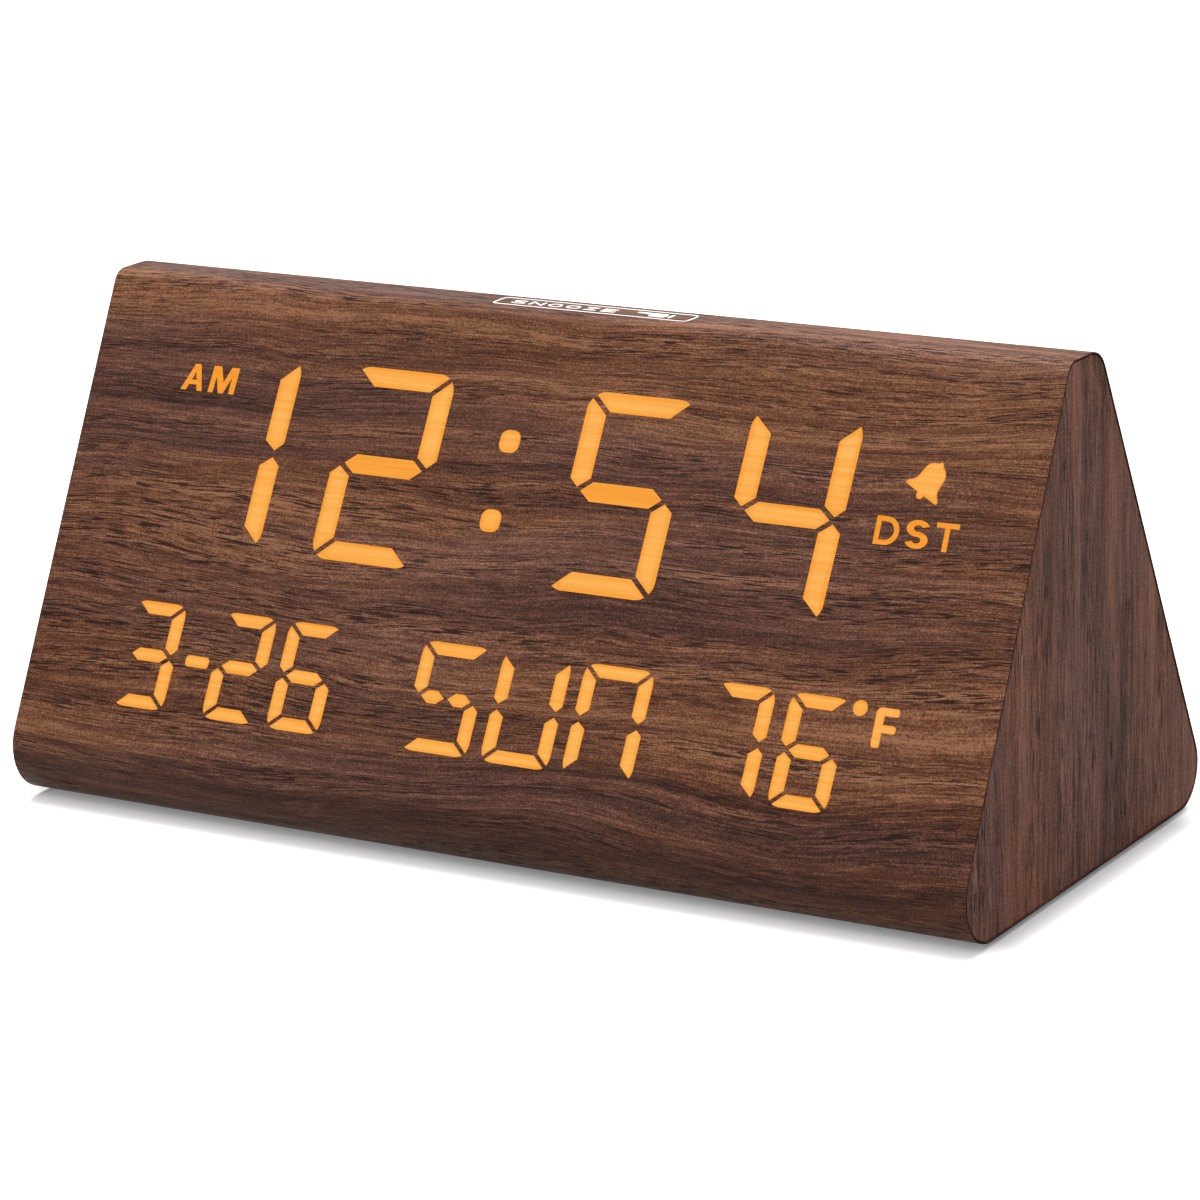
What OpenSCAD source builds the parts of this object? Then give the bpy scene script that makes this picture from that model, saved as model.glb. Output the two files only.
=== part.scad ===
// Bedside digital clock: a wood-grain wedge whose digits shine through the front film.
// Frame: X runs along the length, the display faces -Y, Z is up, z = 0 is the table.

/* [Body] */
// Length of the body, mm
body_l = 200; // [180:1:260]
// Height of the body above its feet, mm
body_h = 94; // [84:1:120]
// Depth of the base between its sharp corners, mm
base_d = 106.2; // [96:0.1:140]
// Depth of the top between its sharp corners, mm
top_d = 12.5; // [11:0.1:30]
// Rounding of the front toe, mm
front_toe_r = 9.5; // [3:0.1:12]
// Rounding of the rear toe, mm
rear_toe_r = 7.5; // [3:0.1:12]
// Rounding of the rear top edge, mm
rear_brow_r = 6.5; // [2:0.1:8]
// Rounding of the front top edge, mm
front_brow_r = 3.5; // [2:0.1:8]
// Thickness of the wood-grain film, mm
film_t = 0.4; // [0.3:0.05:0.8]
// Thickness of the fibreboard walls, mm
board_t = 6; // [5:0.1:8]
// Height of the rubber feet, mm
foot_h = 1; // [0.6:0.1:4]
// Radius of a rubber foot, mm
foot_r = 6; // [4:0.1:8]

/* [Display] */
// Height of the time digits, mm
time_h = 36.6; // [28:0.1:38]
// Width of a time digit, mm
time_w = 22; // [16:0.1:24]
// Thickness of the level strokes of the time digits, mm
time_th = 3.6; // [2:0.1:4.5]
// Thickness of the upright strokes of the time digits, mm
time_tv = 4.2; // [2:0.1:4.5]
// Place of the colon along the front, mm
colon_u = -6.2; // [-10:0.1:10]
// Distance from the colon to the digits beside it, mm
colon_reach = 25.2; // [22:0.1:28]
// Pitch of the time digits, mm
time_pitch = 33.5; // [30:0.1:36]
// Height of the time row's middle up the front, mm
time_s = 73.1; // [70:0.1:76]
// Height of the small characters, mm
low_h = 20.2; // [16:0.1:22]
// Width of a small digit, mm
low_w = 11.6; // [9:0.1:12]
// Width of a weekday letter, mm
day_w = 14.2; // [11:0.1:15]
// Thickness of the small level strokes, mm
low_th = 2.4; // [1.4:0.1:2.8]
// Thickness of the small upright strokes, mm
low_tv = 2.75; // [1.4:0.05:3]
// Height of the small row's middle up the front, mm
low_s = 32.6; // [30:0.1:36]
// Gap between neighbouring strokes, mm
stroke_gap = 0.6; // [0.4:0.05:1]
// Lean of the characters, degrees
lean = 2; // [0:0.5:8]
// Height of the small lettering, mm
label_h = 5; // [4:0.1:6]
// Distance from the display window to each end of the body, mm
window_side = 11.5; // [11:0.1:16]
// Distance from the display window to the front's top corner, mm
window_top = 11.03; // [10.5:0.01:16]
// Distance from the display window to the front's bottom corner, mm
window_low = 19; // [17:0.1:22]
// Thickness of the diffuser sheet, mm
diffuser_t = 0.5; // [0.2:0.1:1]
// Width of the mask's flange behind the front board, mm
flange_w = 4; // [3.6:0.1:5]
// Thickness of the mask's flange, mm
flange_t = 2; // [1.5:0.1:3]

/* [Rear panel] */
// Width of the rear panel, mm
panel_w = 130; // [128:1:150]
// Height of the rear panel, mm
panel_h = 50; // [49:0.5:56]
// Thickness of the rear panel, mm
panel_t = 3; // [2.4:0.1:4]
// Height of the panel's middle up the rear, mm
panel_s = 45; // [42:0.5:50]
// Width of the ledge that the panel rests on, mm
ledge_w = 4; // [3.6:0.1:4.2]
// Distance from the panel's inner face to the control board, mm
board_gap = 11.1; // [11:0.1:13]
// Distance from the control board's ends to the opening behind the panel, mm
control_side = 5; // [3:0.5:6]
// Distance from the control board's edges to the opening behind the panel, mm
control_edge = 3; // [2.5:0.5:3.5]

/* [Controls] */
// Radius of a push button, mm
button_r = 3.5; // [2.5:0.1:4]
// Height of a button above the panel, mm
button_rise = 1.5; // [1:0.1:3]
// Travel of a button, mm
button_travel = 0.5; // [0.3:0.05:0.5]
// Pitch of the buttons, mm
button_pitch = 14; // [12:0.5:14]
// Radius of the dimmer wheel, mm
wheel_r = 7.5; // [6:0.1:7.6]
// Width of the dimmer wheel, mm
wheel_w = 3.8; // [3:0.1:4.4]
// Height of the wheel above the panel, mm
wheel_rise = 1.6; // [1:0.1:2]
// Travel of the alarm slide switch, mm
switch_travel = 4; // [2:0.5:4]

/* [Fits] */
// Gap around a piece that is laid into a pocket, mm
seat_gap = 0.3; // [0.15:0.05:0.4]
// Gap around a sliding piece, mm
slide_gap = 0.4; // [0.2:0.05:0.5]
// Gap between a turning shaft and its hole, mm
shaft_gap = 0.05; // [0.02:0.01:0.1]
// Gap between a screw and its hole, mm
screw_gap = 0.15; // [0.05:0.05:0.2]

/* [Hidden] */
$fn = 48;

// Facets on each rounded edge of the body, an even number
arc_n = 12;
slope = atan2(body_h, (base_d - top_d) / 2);
front_reach = base_d / 2 - front_toe_r / tan(slope / 2) + front_toe_r;
rear_reach = base_d / 2 - rear_toe_r / tan(slope / 2) + rear_toe_r;
mid_y = (rear_reach - front_reach) / 2;
front_y0 = -base_d / 2 - mid_y;
rear_y0 = base_d / 2 - mid_y;
front_l = body_h / sin(slope);
window_w = body_l - 2 * window_side;
window_h = front_l - window_top - window_low;
window_s = window_low + window_h / 2;
inner_e = film_t + board_t;
inner_l = body_l - 2 * board_t;

// Levels behind the front face
mask_z = -film_t - diffuser_t;
wall_z = -inner_e;
disp_z = wall_z - flange_t;
pcb_t = 1.6;
disp_back_z = disp_z - pcb_t;
display_w = window_w + 2 * flange_w;
display_h = window_h + 2 * flange_w;
chip_t = 2;
driver_u = 20;
driver_drop = 6.5;
driver_l = 12;
driver_w = 7.5;
plug_t = 3;
led_l = 1.6;
led_w = 0.8;
led_t = 0.7;

// Levels behind the rear face
face_z = -film_t;
in_z = face_z - panel_t;
ctrl_z = in_z - board_gap;
ctrl_back_z = ctrl_z - pcb_t;
rear_win_w = panel_w - 2 * ledge_w;
rear_win_h = panel_h - 2 * ledge_w;
control_w = rear_win_w - 2 * control_side;
control_h = rear_win_h - 2 * control_edge;
skirt_t = 1.6;

// Screws
screw_r = 1;
head_r = 1.9;
head_t = 1.2;
panel_screw_r = 1;
panel_screw_in = 2.5;
panel_screw_end = 12;

// Places on the rear panel, from its ends
key_end = 17;
switch_end = 17;
inlet_end = 19;
sensor_end = 17;
post_end = 12.5;
first_key_x = key_end - panel_w / 2;
switch_x = panel_w / 2 - switch_end;
inlet_x = inlet_end - panel_w / 2;
sensor_x = panel_w / 2 - sensor_end;
post_x = panel_w / 2 - post_end;

// Places on the rear panel, from its middle
key_y = 14;
low_y = -8;
wheel_x = 24;
door_x = -16;
sounder_x = 22;
post_y = 2;
low_post_x = 4.5;
low_post_y = -16;
high_post_x = 8;
post_spots = [[-post_x, post_y], [post_x, post_y], [low_post_x, low_post_y], [high_post_x, key_y]];
post_r = 3;

// Buttons and their switches
key_flange_r = 4.75;
key_flange_t = 1;
key_stem_r = 2.5;
case_w = 6;
case_h = 3.5;
plunger_r = 1.75;
plunger_rise = 1.5;
plunger_in = 1;
key_top_z = face_z + button_rise;
key_low_z = ctrl_z + case_h + plunger_rise;

// Dimmer
wheel_z = face_z + wheel_rise - wheel_r;
shaft_r = 1.5;
shaft_l = 3.6;
pot_w = 10;
pot_d = 5.5;
pot_top_z = in_z - 0.5;
wheel_side_y = key_y - wheel_w / 2;
pot_y = wheel_side_y - slide_gap;
grip_n = 24;
grip_r = 0.45;

// Slide switch
knob_w = 4.4;
knob_d = 2.2;
knob_rise = 1;
knob_slot_w = knob_w + switch_travel + 2 * slide_gap;
knob_slot_d = knob_d + 2 * slide_gap;
switch_case_w = 13;
switch_case_d = 6.4;
switch_case_h = 6;
switch_pit = 3;

// Power inlet
inlet_w = 8.94;
inlet_h = 3.26;
inlet_wall = 0.3;
inlet_top_z = face_z - 0.2;
tongue_w = 6.7;
tongue_t = 0.7;

// Sounder
disc_r = 10;
disc_t = 0.4;
ceramic_r = 6.5;
ceramic_t = 0.2;
chamber_h = 2.6;
ring_r = disc_r + 2.2;
disc_z = in_z - chamber_h;
grille_r = 0.8;
sounder_lead_r = 0.35;

// Coin cell and its bay
cell_r = 10;
cell_t = 3.2;
contact_t = 0.4;
cup_r = cell_r + 2;
door_w = 30;
door_h = 24;
door_t = 1.6;
door_gap = 0.1;
cell_x = door_x - 2.4;
door_screw_x = door_x + 12.4;
recess_z = face_z - door_t;
cup_low_z = in_z - 7.1;
cup_floor_z = cup_low_z + 1;
cell_z = cup_floor_z + contact_t;
cell_top_z = cell_z + cell_t;
minus_r = 6;
tail_r = 0.5;
tail_x = 3;
strip_d = 4;
strip_reach = cell_r + 0.9;
strip_t = 0.5;

// Temperature sensor
bead_r = 1.6;
bead_z = in_z - 3.1;
lead_r = 0.3;
lead_x = 0.9;

// Parts on the back of the control board
chip_x = -16;
chip_y = 8;
chip_w = 10;
crystal_x = -4;
crystal_r = 1.5;
crystal_h = 8;
filter_x = -40;
filter_y = 4;
filter_r = 4;
filter_h = 11;

// Leads inside the case
ribbon_x = -30;
ribbon_w = 16;
ribbon_t = 0.8;
ribbon_drop = 16.5;
ribbon_s = window_s - ribbon_drop;
plug_w = 20;
plug_d = 5;
ribbon_rear_drop = 12;
ribbon_rear_s = panel_s - ribbon_rear_drop;
socket_t = 4;
touch_x = 26;
touch_raise = 15;
touch_s = panel_s + touch_raise;
touch_w = 2;
touch_t = 0.4;
touch_out = 6;
electrode_l = 60;
electrode_t = 0.2;

// Outline helpers
function unit(v) = v / norm(v);
function arc_at(a, p, b, r, n) =
  let (d1 = unit(a - p), d2 = unit(b - p), half = acos(d1 * d2) / 2)
  let (c = p + unit(d1 + d2) * r / sin(half))
  let (t1 = p + d1 * r / tan(half) - c, t2 = p + d2 * r / tan(half) - c)
  let (s0 = atan2(t1[1], t1[0]), s1 = atan2(t2[1], t2[0]))
  let (turn = (s1 - s0 + 540) % 360 - 180)
  [for (i = [0:n]) c + r * [cos(s0 + turn * i / n), sin(s0 + turn * i / n)]];
function next_of(p, i) = p[(i + 1) % len(p)];
function last_of(p, i) = p[(i + len(p) - 1) % len(p)];
function arcs(p, r, n) = [for (i = [0:len(p) - 1]) arc_at(last_of(p, i), p[i], next_of(p, i), r[i], n)];
function flat(lists) = [for (one = lists) each one];
function rounded(w, h, r, n = 4) =
  flat(arcs([[-w, -h] / 2, [w, -h] / 2, [w, h] / 2, [-w, h] / 2], [r, r, r, r], n));

// Corners of the body's side outline, moved in by e: front toe, rear toe, rear brow, front brow
function side_y(e, h) = h / tan(slope) + e / sin(slope);
function corners(e) = [
  [front_y0 + side_y(e, e), foot_h + e],
  [rear_y0 - side_y(e, e), foot_h + e],
  [rear_y0 - side_y(e, body_h - e), foot_h + body_h - e],
  [front_y0 + side_y(e, body_h - e), foot_h + body_h - e]];
edge_r = [front_toe_r, rear_toe_r, rear_brow_r, front_brow_r];
function side_arcs(e) = arcs(corners(e), [for (r = edge_r) r - e], arc_n);
function front_pt(s, z) =
  [front_y0 + s * cos(slope) - z * sin(slope), foot_h + s * sin(slope) + z * cos(slope)];
function rear_pt(s, z) =
  [rear_y0 - s * cos(slope) + z * sin(slope), foot_h + s * sin(slope) + z * cos(slope)];

// One wall's outline: half of each neighbouring rounded edge, closed along the inner corners
function wall_outline(i) = let (a = side_arcs(film_t), c = corners(inner_e), j = (i + 1) % 4)
  concat([for (k = [arc_n / 2:arc_n]) a[i][k]], [for (k = [0:arc_n / 2]) a[j][k]], [c[j], c[i]]);

module along_x(l) rotate([90, 0, 90]) translate([0, 0, -l / 2]) linear_extrude(l) children();
module on_front() translate([0, front_y0, foot_h]) rotate([slope, 0, 0]) children();
module on_rear() translate([0, rear_y0, foot_h]) rotate([0, 0, 180]) rotate([slope, 0, 0]) children();
module on_panel() on_rear() translate([0, panel_s, 0]) children();
module slab(z0, z1) translate([0, 0, z0]) linear_extrude(z1 - z0) children();
module post(x, y, z0, z1, r) translate([x, y, z0]) cylinder(h = z1 - z0, r = r);
module block(x, y, w, d, z0, z1) translate([x - w / 2, y - d / 2, z0]) cube([w, d, z1 - z0]);

// Strokes of one character. A cell is [u, s, width, level stroke, upright stroke, height].
function cell_at(u, s, w, h, th, tv) = [u, s, w, th, tv, h];
function flip(p, x, y) = [for (q = p) [q[0] * x, q[1] * y]];
function bar_top(X, Y, th, tv, q) =
  [[-X + q, Y], [X - q, Y], [X - tv - q, Y - th], [-X + tv + q, Y - th]];
function bar_side(X, Y, th, tv, q) = [[X, Y - q], [X, q + 0.42 * th], [X - 0.42 * tv, q],
  [X - tv, q + 0.5 * th], [X - tv, Y - th - q]];
function bar_mid(x0, x1, th, tv, q) = [[x0, 0], [x0 + 0.55 * tv, th / 2], [x1 - 0.55 * tv, th / 2],
  [x1, 0], [x1 - 0.55 * tv, -th / 2], [x0 + 0.55 * tv, -th / 2]];
function stroke(k, c) =
  let (X = c[2] / 2, Y = c[5] / 2, th = c[3], tv = c[4], q = stroke_gap * 0.65)
  let (m = X - 0.42 * tv - 1.3 * q)
  k == "a" ? bar_top(X, Y, th, tv, q) :
  k == "d" ? flip(bar_top(X, Y, th, tv, q), 1, -1) :
  k == "b" ? bar_side(X, Y, th, tv, q) :
  k == "c" ? flip(bar_side(X, Y, th, tv, q), 1, -1) :
  k == "e" ? flip(bar_side(X, Y, th, tv, q), -1, -1) :
  k == "f" ? flip(bar_side(X, Y, th, tv, q), -1, 1) :
  k == "g" ? bar_mid(-m, m, th, tv, q) :
  k == "h" ? bar_mid(-m, -q / 2, th, tv, q) : bar_mid(q / 2, m, th, tv, q);
// The layout is drawn for one window and stretched to fit the window that there is
drawn_w = 177;
drawn_h = 75;
drawn_low = 19;
fit_u = window_w / drawn_w;
fit_s = window_h / drawn_h;
fit_r = min(fit_u, fit_s);
function placed(p) = [p[0] * fit_u, window_low + (p[1] - drawn_low) * fit_s];
function leaned(p, c) = [for (q = p) placed([c[0] + q[0] + q[1] * tan(lean), c[1] + q[1]])];
function mean(p) = [for (i = [0:1]) ([for (q = p) 1] * [for (q = p) q[i]]) / len(p)];
module strokes(c, keys) for (i = [0:len(keys) - 1]) polygon(leaned(stroke(keys[i], c), c));

all_keys = "abcdefg";
day_keys = "abcdefhi";
function time_cell(i) = cell_at(colon_u + (i < 2 ? -1 : 1) * colon_reach
  + (i == 0 ? -time_pitch : i == 3 ? time_pitch : 0), time_s, time_w, time_h, time_th, time_tv);
function low_cell(u) = cell_at(u, low_s, low_w, low_h, low_th, low_tv);
day_u = 9;
day_pitch = 16.9;
month_u = -73.2;
tens_u = -52.9;
ones_u = -38.5;
function day_cell(i) = cell_at(day_u + (i - 1) * day_pitch, low_s, day_w, low_h, low_th, low_tv);
date_u = [month_u, tens_u, ones_u];
dash_u = -62.4;
dash_w = 5.4;
warm_tens_u = 51.4;
warm_ones_u = 65.9;
warm_u = [warm_tens_u, warm_ones_u];
degree_u = 73.9;
degree_s = 41.5;
degree_r = 1.4;
unit_u = 77.2;
unit_s = 35;
unit_h = 7;
noon_u = -79.4;
noon_s = 83.2;
saving_u = 70;
saving_s = 69.9;
bell_u = 78.6;
bell_s = 82.1;
bell_r = 2.45;
unit_at = [unit_u, unit_s];
noon_at = [noon_u, noon_s];
saving_at = [saving_u, saving_s];
bell_tilt = -28;
dot_r = 2.1;
dot_dy = 7.4;

// Lettering outlines in units of a tenth of their height
glyph_a = [[0, 0], [2.5, 0], [3.3, 2.2], [6.8, 2.2], [6, 4], [4, 4], [5.6, 7.4], [8.5, 0], [11, 0],
  [7, 10], [4.2, 10]];
glyph_m = [[0, 0], [2.4, 0], [2.4, 6.4], [4.8, 1.2], [6.8, 1.2], [9.2, 6.4], [9.2, 0], [11.6, 0],
  [11.6, 10], [8.4, 10], [5.8, 4.2], [3.2, 10], [0, 10]];
glyph_d = [[0, 0], [2.5, 0], [2.5, 7.9], [4.8, 7.9], [6.4, 7], [7.1, 5.6], [7.1, 4.4], [6.4, 3],
  [4.8, 2.1], [3, 2.1], [3, 0], [5.2, 0], [8, 1.2], [9.6, 3.6], [9.6, 6.4], [8, 8.8], [5.2, 10], [0, 10]];
glyph_s = [[0.4, 0], [7.2, 0], [8.8, 1.6], [8.8, 4.4], [7.4, 6], [2.5, 6.1], [2.5, 7.8], [8.2, 7.8],
  [8.2, 10], [1.6, 10], [0, 8.4], [0, 5.6], [1.4, 4], [6.3, 3.9], [6.3, 2.2], [0.4, 2.2]];
glyph_t = [[3.4, 0], [5.9, 0], [5.9, 7.8], [9.2, 7.8], [9.2, 10], [0, 10], [0, 7.8], [3.4, 7.8]];
glyph_f = [[0, 0], [1.9, 0], [1.9, 4.1], [5.7, 4.1], [5.7, 5.9], [1.9, 5.9], [1.9, 8.3], [6.1, 8.3],
  [6.1, 10], [0, 10]];
module glyph(p, at, dx, h) polygon([for (q = p) placed(at + [dx * h, 0] + q * h / 10)]);

// Lit shapes, in front coordinates
module time_shapes() {
  strokes(time_cell(0), "bc");
  strokes(time_cell(1), "abged");
  strokes(time_cell(2), "afgcd");
  strokes(time_cell(3), "fgbc");
  colon_dots();
}
module colon_dots() for (k = [-1, 1])
  translate(placed([colon_u + k * dot_dy * tan(lean), time_s + k * dot_dy])) circle(r = dot_r * fit_r);
module dash_shape() polygon([for (k = [[-1, -1], [1, -1], [1, 1], [-1, 1]])
  placed([dash_u + k[0] * dash_w / 2, low_s + k[1] * low_th / 2])]);
module date_shapes() {
  strokes(low_cell(date_u[0]), "abgcd");
  strokes(low_cell(date_u[1]), "abged");
  strokes(low_cell(date_u[2]), "afgecd");
  dash_shape();
}
module day_shapes() {
  strokes(day_cell(0), "afhicd");
  strokes(day_cell(1), "bcdef");
  strokes(day_cell(2), "abcef");
}
module degree_shape() translate(placed([degree_u, degree_s])) circle(r = degree_r * fit_r);
module warm_shapes() {
  strokes(low_cell(warm_u[0]), "abc");
  strokes(low_cell(warm_u[1]), "afgecd");
  degree_shape();
  glyph(glyph_f, unit_at, 0, unit_h);
}
module bell_shape() translate(placed([bell_u, bell_s])) rotate(bell_tilt) {
  r = bell_r * fit_r;
  translate([0, 0.33 * r]) circle(r = r);
  polygon(r * [[-1, 0.33], [-1.02, -0.55], [-1.47, -0.86], [-1.49, -1.06], [1.49, -1.06], [1.47, -0.86],
    [1.02, -0.55], [1, 0.33]]);
  translate([0, 1.35 * r]) circle(r = 0.18 * r);
  translate([0, -1.22 * r]) circle(r = 0.31 * r);
}
module icon_shapes() {
  glyph(glyph_a, noon_at, 0, label_h);
  glyph(glyph_m, noon_at, 1.28, label_h);
  glyph(glyph_d, saving_at, 0, label_h);
  glyph(glyph_s, saving_at, 1.14, label_h);
  glyph(glyph_t, saving_at, 2.2, label_h);
  bell_shape();
}
module lit_shapes() {
  time_shapes();
  date_shapes();
  day_shapes();
  warm_shapes();
  icon_shapes();
}

// Centres of the plain light wells around the lettering and the bell
label_wells = [[noon_at, 2.44 * label_h, label_h], [saving_at, 3.12 * label_h, label_h],
  [unit_at, 0.61 * unit_h, unit_h]];
well_rim = 0.6;
bell_well_r = 5;
module well_shapes() {
  for (i = [0:3]) strokes(time_cell(i), all_keys);
  colon_dots();
  for (u = concat(date_u, warm_u)) strokes(low_cell(u), all_keys);
  dash_shape();
  for (i = [0:2]) strokes(day_cell(i), day_keys);
  degree_shape();
  for (w = label_wells) let (a = w[0] - [well_rim, well_rim], b = w[0] + [w[1] + well_rim, w[2] + well_rim])
    polygon([placed(a), placed([b[0], a[1]]), placed(b), placed([a[0], b[1]])]);
  translate(placed([bell_u, bell_s])) circle(r = bell_well_r * fit_r);
}
function key_spots(c, keys) = [for (i = [0:len(keys) - 1]) mean(leaned(stroke(keys[i], c), c))];
led_spots = concat(flat([for (i = [0:3]) key_spots(time_cell(i), all_keys)]),
  flat([for (u = concat(date_u, warm_u)) key_spots(low_cell(u), all_keys)]),
  flat([for (i = [0:2]) key_spots(day_cell(i), day_keys)]),
  [for (w = label_wells) placed(w[0] + [w[1], w[2]] / 2)],
  [for (k = [-1, 1]) placed([colon_u, time_s + k * dot_dy])],
  [placed([dash_u, low_s]), placed([degree_u, degree_s]), placed([bell_u, bell_s])]);

display_screw_spots = [for (x = [-1, 1], k = [-1, 0, 1])
  [x * (display_w / 2 - 0.5 * flange_w), window_s + k * (display_h / 2 - 9)]];
panel_screw_spots = [for (x = [-1, 1], y = [-1, 1])
  [x * (panel_w / 2 - panel_screw_end), y * (panel_h / 2 - panel_screw_in)]];

// Case
module wood_film() color([0.36, 0.24, 0.17]) difference() {
  along_x(body_l) difference() {
    polygon(flat(side_arcs(0)));
    polygon(flat(side_arcs(film_t)));
  }
  on_front() slab(-film_t - 1, 1) lit_shapes();
  on_panel() slab(-film_t - 1, 1) polygon(rounded(panel_w, panel_h, 4));
}
module wall(i) along_x(inner_l) polygon(wall_outline(i));
module front_board() color([0.62, 0.5, 0.36]) difference() {
  wall(3);
  on_front() slab(wall_z - 1, 1) translate([0, window_s]) square([window_w, window_h], center = true);
  on_front() for (p = display_screw_spots) post(p[0], p[1], wall_z - 1, wall_z + 4, screw_r + screw_gap);
}
module rear_board() color([0.62, 0.5, 0.36]) difference() {
  wall(1);
  on_panel() slab(wall_z - 1, 1) polygon(rounded(rear_win_w, rear_win_h, 3));
  on_panel() slab(in_z, 1) polygon(rounded(panel_w, panel_h, 4));
  on_panel() for (p = panel_screw_spots) post(p[0], p[1], wall_z - 1, 0, panel_screw_r + screw_gap);
}
module base_board() color([0.62, 0.5, 0.36]) wall(0);
module top_rail() color([0.62, 0.5, 0.36]) wall(2);
module end_plate() along_x(board_t) polygon(flat(side_arcs(film_t)));
module end_panel_left() color([0.33, 0.23, 0.18]) translate([-(body_l - board_t) / 2, 0, 0]) end_plate();
module end_panel_right() color([0.33, 0.23, 0.18]) translate([(body_l - board_t) / 2, 0, 0]) end_plate();
foot_x = body_l / 2 - 3 * foot_r;
foot_front_y = corners(0)[0][0] + front_toe_r / tan(slope / 2) + 1.4 * foot_r;
foot_rear_y = corners(0)[1][0] - rear_toe_r / tan(slope / 2) - 1.4 * foot_r;
module rubber_feet() color([0.12, 0.12, 0.12])
  for (x = [-foot_x, foot_x], y = [foot_front_y, foot_rear_y]) post(x, y, 0, foot_h, foot_r);

// Lit windows in the film
module lit() on_front() slab(-film_t, 0) children();
module time_digits() color([1, 0.62, 0.2]) lit() time_shapes();
module date_digits() color([1, 0.62, 0.2]) lit() date_shapes();
module weekday_letters() color([1, 0.62, 0.2]) lit() day_shapes();
module temperature_digits() color([1, 0.62, 0.2]) lit() warm_shapes();
module indicator_icons() color([1, 0.62, 0.2]) lit() icon_shapes();

// Display stack
module window_plate(grow) translate([0, window_s])
  square([window_w + 2 * grow, window_h + 2 * grow], center = true);
module diffuser_sheet() color([0.95, 0.93, 0.88]) on_front() slab(mask_z, -film_t) window_plate(-seat_gap);
module display_mask() color([0.1, 0.1, 0.1]) on_front() difference() {
  union() {
    slab(wall_z, mask_z) difference() {
      window_plate(-seat_gap);
      well_shapes();
    }
    slab(disp_z, wall_z) difference() {
      window_plate(flange_w);
      well_shapes();
    }
  }
  for (p = display_screw_spots) post(p[0], p[1], disp_z - 1, wall_z + 1, screw_r + screw_gap);
}
module display_board() color([0.1, 0.35, 0.2]) on_front() difference() {
  slab(disp_back_z, disp_z) window_plate(flange_w);
  for (p = display_screw_spots) post(p[0], p[1], disp_back_z - 1, disp_z + 1, screw_r + screw_gap);
}
module display_leds() color([1, 0.85, 0.5]) on_front()
  for (p = led_spots) block(p[0], p[1], led_l, led_w, disp_z, disp_z + led_t);
module display_screws() color([0.7, 0.7, 0.72]) on_front() for (p = display_screw_spots) {
  post(p[0], p[1], disp_back_z - head_t, disp_back_z, head_r);
  post(p[0], p[1], disp_back_z, wall_z + 3.5, screw_r);
}
module led_driver_chip() color([0.08, 0.08, 0.08]) on_front()
  block(driver_u, window_s - driver_drop, driver_l, driver_w, disp_back_z - chip_t, disp_back_z);
module display_connector() color([0.92, 0.9, 0.84]) on_front()
  block(ribbon_x, ribbon_s, plug_w, plug_d, disp_back_z - plug_t, disp_back_z);

// Flat cable: straight out of each connector, sagging between them
ribbon_out = 8;
ribbon_sag = 5;
function normal(p, q) = let (d = unit(q - p)) [-d[1], d[0]];
function normal_in(p, i) = i == 0 ? normal(p[0], p[1]) : normal(p[i - 1], p[i]);
function normal_out(p, i) = i == len(p) - 1 ? normal_in(p, i) : normal(p[i], p[i + 1]);
function strip_side(p, k) = [for (i = [0:len(p) - 1]) let (a = normal_in(p, i), b = normal_out(p, i))
  p[i] + k * (a + b) / (1 + a * b)];
function backward(p) = [for (i = [len(p) - 1:-1:0]) p[i]];
function strip(p, t) = concat(strip_side(p, -t / 2), backward(strip_side(p, t / 2)));
ribbon_a = front_pt(ribbon_s, disp_back_z - plug_t - ribbon_out);
ribbon_b = rear_pt(ribbon_rear_s, ctrl_back_z - socket_t - ribbon_out);
ribbon_path = [front_pt(ribbon_s, disp_back_z - plug_t), ribbon_a,
  (ribbon_a + ribbon_b) / 2 - [0, ribbon_sag], ribbon_b, rear_pt(ribbon_rear_s, ctrl_back_z - socket_t)];
module ribbon_cable() color([0.75, 0.76, 0.78]) translate([ribbon_x, 0, 0])
  along_x(ribbon_w) polygon(strip(ribbon_path, ribbon_t));

// Touch sensing under the top
inner_front_y = corners(inner_e)[3][0];
inner_rear_y = corners(inner_e)[2][0];
inner_top_z = foot_h + body_h - inner_e;
electrode_y = (inner_front_y + inner_rear_y) / 2;
electrode_d = 0.8 * (inner_rear_y - inner_front_y);
module touch_electrode() color([0.8, 0.48, 0.25])
  block(0, electrode_y, electrode_l, electrode_d, inner_top_z - electrode_t, inner_top_z);
touch_top_z = inner_top_z - electrode_t;
touch_y = electrode_y + 0.4 * electrode_d;
touch_path = [[touch_y, touch_top_z], [touch_y, touch_top_z - 0.2 * body_h],
  rear_pt(touch_s, ctrl_back_z - touch_out), rear_pt(touch_s, ctrl_back_z)];
module touch_lead() color([0.8, 0.48, 0.25]) translate([touch_x, 0, 0])
  along_x(touch_w) polygon(strip(touch_path, touch_t));

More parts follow.
